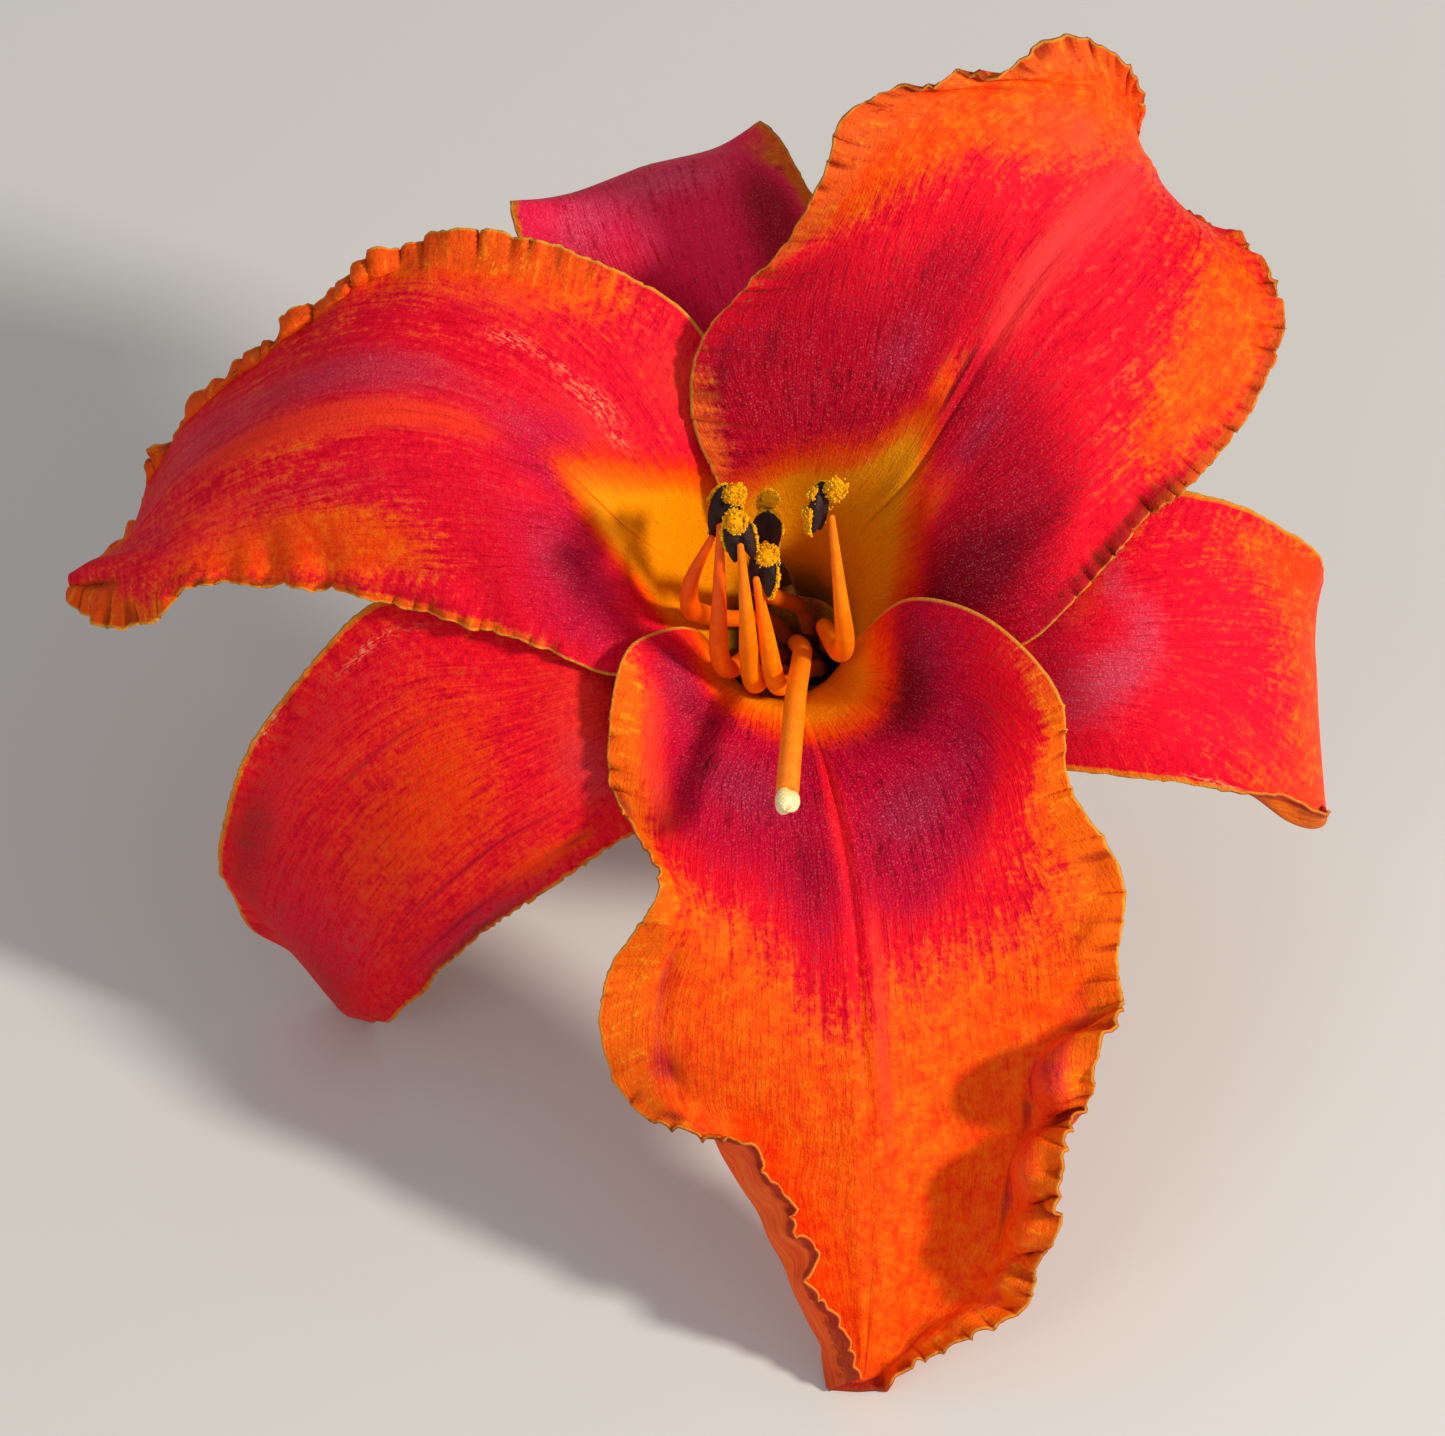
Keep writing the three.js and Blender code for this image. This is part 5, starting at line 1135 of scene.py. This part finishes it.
# Anther: an egg with a groove down its back, a seam round its rim and wrinkles; the lower part rises by
# notch * exp(-(x / 0.4)^2) and drops by fork * x^2, which leaves a lobe on each side.
def antherPiece(name, centre, way, back, values):
    polar, angle = ringPoles(values["rings"]), ringAngles(values["sides"])
    x, z = np.sin(polar) * np.cos(angle), -np.sin(polar) * np.sin(angle)
    y = -np.cos(polar)
    rise = smooth(-y, 0.1, 0.9) * (values["notch"] * np.exp(-((x / 0.4) ** 2)) - values["fork"] * x * x)
    dip = values["groove"] * np.maximum(0, z) * np.exp(-((x / 0.25) ** 2))
    seam = 1 - 0.05 * np.exp(-((z / 0.12) ** 2))
    wrinkle = 0.02 * np.sin(14 * x + 5 * y) * np.sin(11 * y + 3 * z)
    points = centre + (x * seam * values["width"] / 2)[..., None] * np.cross(way, back)
    points = points + (y * values["length"] / 2 + rise)[..., None] * way
    points = points + ((z + wrinkle) * values["thick"] / 2 - dip)[..., None] * back
    return wrapPiece(name, points, np.linspace(0, 1, values["rings"]))


# Centres of the grains on the clot: they crowd about knots, and each clump stands out or sinks in.
def clotGrains(chance, middle, way, side, values):
    count, clumps, clot = values["grains"], values["clumps"], values["clot"]
    knots = unit(chance.normal(0, 1, (clumps, 3)))
    picked = chance.integers(0, clumps, count)
    heading = unit(knots[picked] + chance.normal(0, 0.3, (count, 3)))
    swell = chance.uniform(0.8, 1.04, count) + chance.uniform(-0.16, 0.22, clumps)[picked]
    half = np.array([clot["length"], clot["width"], clot["width"]]) / 2
    return middle + (swell[:, None] * heading * half) @ np.array([way, side, np.cross(way, side)])


# Centres of the grains along the anther's edges, in patches with an edge, a reach from -1 to 1 and a
# thickness each: centre + way * reach + edge * cos(turn) * width / 2 - back * sin(turn) * thick / 2.
def edgeGrains(chance, centre, way, back, edge, coat, values):
    anther, spill, patches = values["anther"], values["spill"], values["patches"]
    patchEdge = np.where(chance.uniform(0, 1, patches) < 0.66, edge, -edge)
    patchReach = 0.98 - 1.8 * chance.uniform(0, 1, patches) ** 1.1
    patchThick = coat[1] * chance.uniform(0.3, 1, patches)
    picked = chance.integers(0, patches, spill)
    reach = np.clip(patchReach[picked] + chance.normal(0, 0.07, spill), -0.97, 0.99)
    turn = np.abs(chance.normal(0.1, coat[0], spill)) - 0.1
    girth = np.sqrt(1 - reach**2)
    fork = smooth(-reach, 0.1, 0.9) * anther["fork"] * (girth * np.cos(turn)) ** 2
    thick = patchThick[picked] * chance.uniform(0, 1, spill) + 0.05
    along = reach * anther["length"] / 2 - fork
    outward = patchEdge[picked] * (girth * anther["width"] / 2 + thick) * np.cos(turn)
    inward = -(girth * anther["thick"] / 2 + thick) * np.sin(turn)
    return centre + np.stack([along, outward, inward], axis=-1) @ np.array([way, np.cross(way, back), back])


# Pollen: a lumpy clot beside the anther's far end, its grains and those along the anther's edges.
def pollenPiece(name, centre, way, back, side, edge, coat, values, seed):
    chance = np.random.default_rng(seed)
    clot = values["clot"]
    middle = centre + (way * clot["lean"] + side * math.sqrt(1 - clot["lean"] ** 2)) * clot["reach"]
    length, width = clot["length"] * clot["body"], clot["width"] * clot["body"]
    body = eggRings(middle, way, side, length, width, 24, 28, clot["lumpy"], seed)
    onClot = clotGrains(chance, middle, way, side, values)
    centres = np.concatenate([onClot, edgeGrains(chance, centre, way, back, edge, coat, values)])
    squash = chance.uniform(0.75, 1.15, (len(centres), 3))
    points, faces = grainCloud(centres, chance.uniform(*values["grainSize"], len(centres)), squash)
    rings, sides = body.shape[:2]
    grainRun = np.repeat(chance.uniform(0, 1, len(centres)), len(points) // len(centres))
    blocks = ringBlocks(rings, sides) + [faces + rings * sides]
    run = np.concatenate([np.zeros(rings * sides), grainRun])
    return meshObject(name, np.concatenate([body.reshape(-1, 3), points]), blocks, {"run": run})


# The side with its share along the way taken off.
def squareTo(way, side):
    return unit(side - way * (way @ side))


filamentTissues = [
    tissueMaterial("filament_tissue_%d" % number, tints, 500, 0.45, 0.00005, 0.15, 0.2)
    for number, tints in enumerate(stamenShape["filamentTints"], start=1)
]
antherTissue = tissueMaterial("anther_tissue", stamenShape["antherTints"], 1300, 0.5, 0.00012, 0.0, 0.25)
pollenTissue = tissueMaterial("pollen_tissue", stamenShape["pollenTints"], 3200, 0.85, 0.00008, 0.05, 0.1)
for number, stamen in enumerate(stamens, start=1):
    foot, path, along, antherBack, hold, pollenSide, edge, bright, coat = stamen
    start = [besideTube(h, r, foot) for h, r in zip(stamenShape["footHeights"], stamenShape["footRadii"])]
    filament = rodPiece("filament_%d_rod" % number, [*start, *path], stamenShape["filament"], 120, 28)
    declare(filament, "filament_%d" % number, filamentTissues[bright])
    way = unit(np.array(along))
    back = squareTo(way, antherBack)
    centre = np.array(path[-1]) + way * hold - back * stamenShape["anther"]["off"]
    anther = antherPiece("anther_%d_body" % number, centre, way, back, stamenShape["anther"])
    declare(anther, "anther_%d" % number, antherTissue)
    side = squareTo(way, pollenSide)
    name = "pollen_%d_grains" % number
    pollen = pollenPiece(name, centre, way, back, side, edge, coat, stamenShape, number)
    declare(pollen, "pollen_%d" % number, pollenTissue)
print("stamens made")

pistilShape = {
    "start": (-18.6, -8, 1), "radii": (0.9, 1.3), "ends": (1.0, 0.35),
    "path": ((0.3, -0.4, 10), (0.1, -2, 19), (-0.5, -5.6, 27.5), (-1.1, -11.8, 34.5), (-1.5, -16.2, 38)),
    "stigma": 1.35, "ahead": 1.1, "lobes": (3, 0.1), "lumpy": 0.02, "papillae": 0.03,
    "rings": 60, "sides": 72,
    "styleTints": ("#e88a08", "#ff7a04", "#ff9412"), "stigmaTints": ("#f6dc8c", "#fff2c4", "#e8b84a"),
}
stylePath = [besideTube(height, 0, 0) for height in pistilShape["start"]]
stylePath += [np.array(point) for point in pistilShape["path"]]
style = rodPiece("style_rod", stylePath, pistilShape["radii"], 160, 32, ends=pistilShape["ends"])
styleTissue = tissueMaterial("style_tissue", pistilShape["styleTints"], 600, 0.42, 0.00006, 0.2)
declare(style, "style", styleTissue)


# Stigma: a ball with soft lobes, radius * (1 + depth * cos(count * angle)), rough with small papillae.
def stigmaPiece(values, tip, heading):
    centre = tip + heading * values["ahead"]
    across = unit(np.array([1.0, 0.0, 0.0]) - heading * heading[0])
    size, sides = 2 * values["stigma"], values["sides"]
    rings = eggRings(centre, heading, across, size, size, values["rings"], sides, values["lumpy"])
    angle, even = ringAngles(sides), np.linspace(0, 1, len(rings))
    count, depth = values["lobes"]
    rough = values["papillae"] * np.sin(17 * angle) * np.sin(55 * even)[:, None]
    lobed = 1 + depth * np.cos(count * angle) + rough
    return wrapPiece("stigma_lobes", centre + (rings - centre) * lobed[..., None], even)


stigma = stigmaPiece(pistilShape, stylePath[-1], unit(stylePath[-1] - stylePath[-2]))
stigmaTissue = tissueMaterial("stigma_tissue", pistilShape["stigmaTints"], 2400, 0.7, 0.00015, 0.3)
declare(stigma, "stigma", stigmaTissue)
print("style and stigma made")

studio = {
    "floorTints": ("#d3d0cb", "#cfccc6"), "floorHalf": 3.0, "world": 0.42, "worldTint": (0.95, 0.97, 1.0, 1),
    "aim": (-5.0, -8.0, 15.0),
}
# Each lamp: its way out from the aim in the flower's frame, distance and size in metres, power and tint.
lamps = {
    "key_lamp": ((0.74, 0.15, 0.65), 0.95, 0.13, 9.0, (1.0, 0.96, 0.88)),
    "fill_lamp": ((-0.4, -0.05, 1.0), 1.3, 0.5, 2.2, (0.95, 0.97, 1.0)),
}
half = studio["floorHalf"]
floorMesh = bpy.data.meshes.new("studio_floor")
corners = [(-half, -half, 0), (half, -half, 0), (half, half, 0), (-half, half, 0)]
floorMesh.from_pydata(corners, [], [(0, 1, 2, 3)])
floor = bpy.data.objects.new("studio_floor", floorMesh)
bpy.context.collection.objects.link(floor)
floorPaint, floorTree = newMaterial("floor_paper")
floorPlace = shade(floorTree, "ShaderNodeTexCoord").outputs["Object"]
cloud = sums(floorTree, "MULTIPLY", noise(floorTree, floorPlace, 60.0, 3.0, 0.5), 0.06)
finished(floorTree, mixed(floorTree, cloud, *[colour(code) for code in studio["floorTints"]]), 0.9)
floorMesh.materials.append(floorPaint)

world = bpy.data.worlds.new("studio_world")
world.use_nodes = True
world.node_tree.nodes["Background"].inputs["Color"].default_value = studio["worldTint"]
world.node_tree.nodes["Background"].inputs["Strength"].default_value = studio["world"]
bpy.context.scene.world = world


# Round soft lamp that faces the aim.
def softLamp(name, way, far, size, power, tint):
    lamp = bpy.data.lights.new(name, "AREA")
    lamp.shape = "DISK"
    lamp.size = size
    lamp.energy = power
    lamp.color = tint
    holder = bpy.data.objects.new(name, lamp)
    bpy.context.collection.objects.link(holder)
    aim = np.array(studio["aim"])
    place = toRow(aim + 1000 * far * unit(np.array(way)))
    holder.location = place
    holder.rotation_euler = Vector(place - toRow(aim)).to_track_quat("Z", "Y").to_euler()


for name, values in lamps.items():
    softLamp(name, *values)

view = {"point": (-8.525, -8.03, 1500.0), "lens": 335.2, "sensor": 36, "reach": 10}
eye = bpy.data.cameras.new("photo_camera")
eye.lens = view["lens"]
eye.sensor_width = view["sensor"]
eye.clip_end = view["reach"]
camera = bpy.data.objects.new("photo_camera", eye)
bpy.context.collection.objects.link(camera)
camera.location = toRow(np.array(view["point"]))
camera.rotation_euler = (math.radians(90 - stand["lean"]), 0, 0)
bpy.context.scene.camera = camera
bpy.context.scene.view_settings.view_transform = "Standard"
print("floor, lights and camera made")
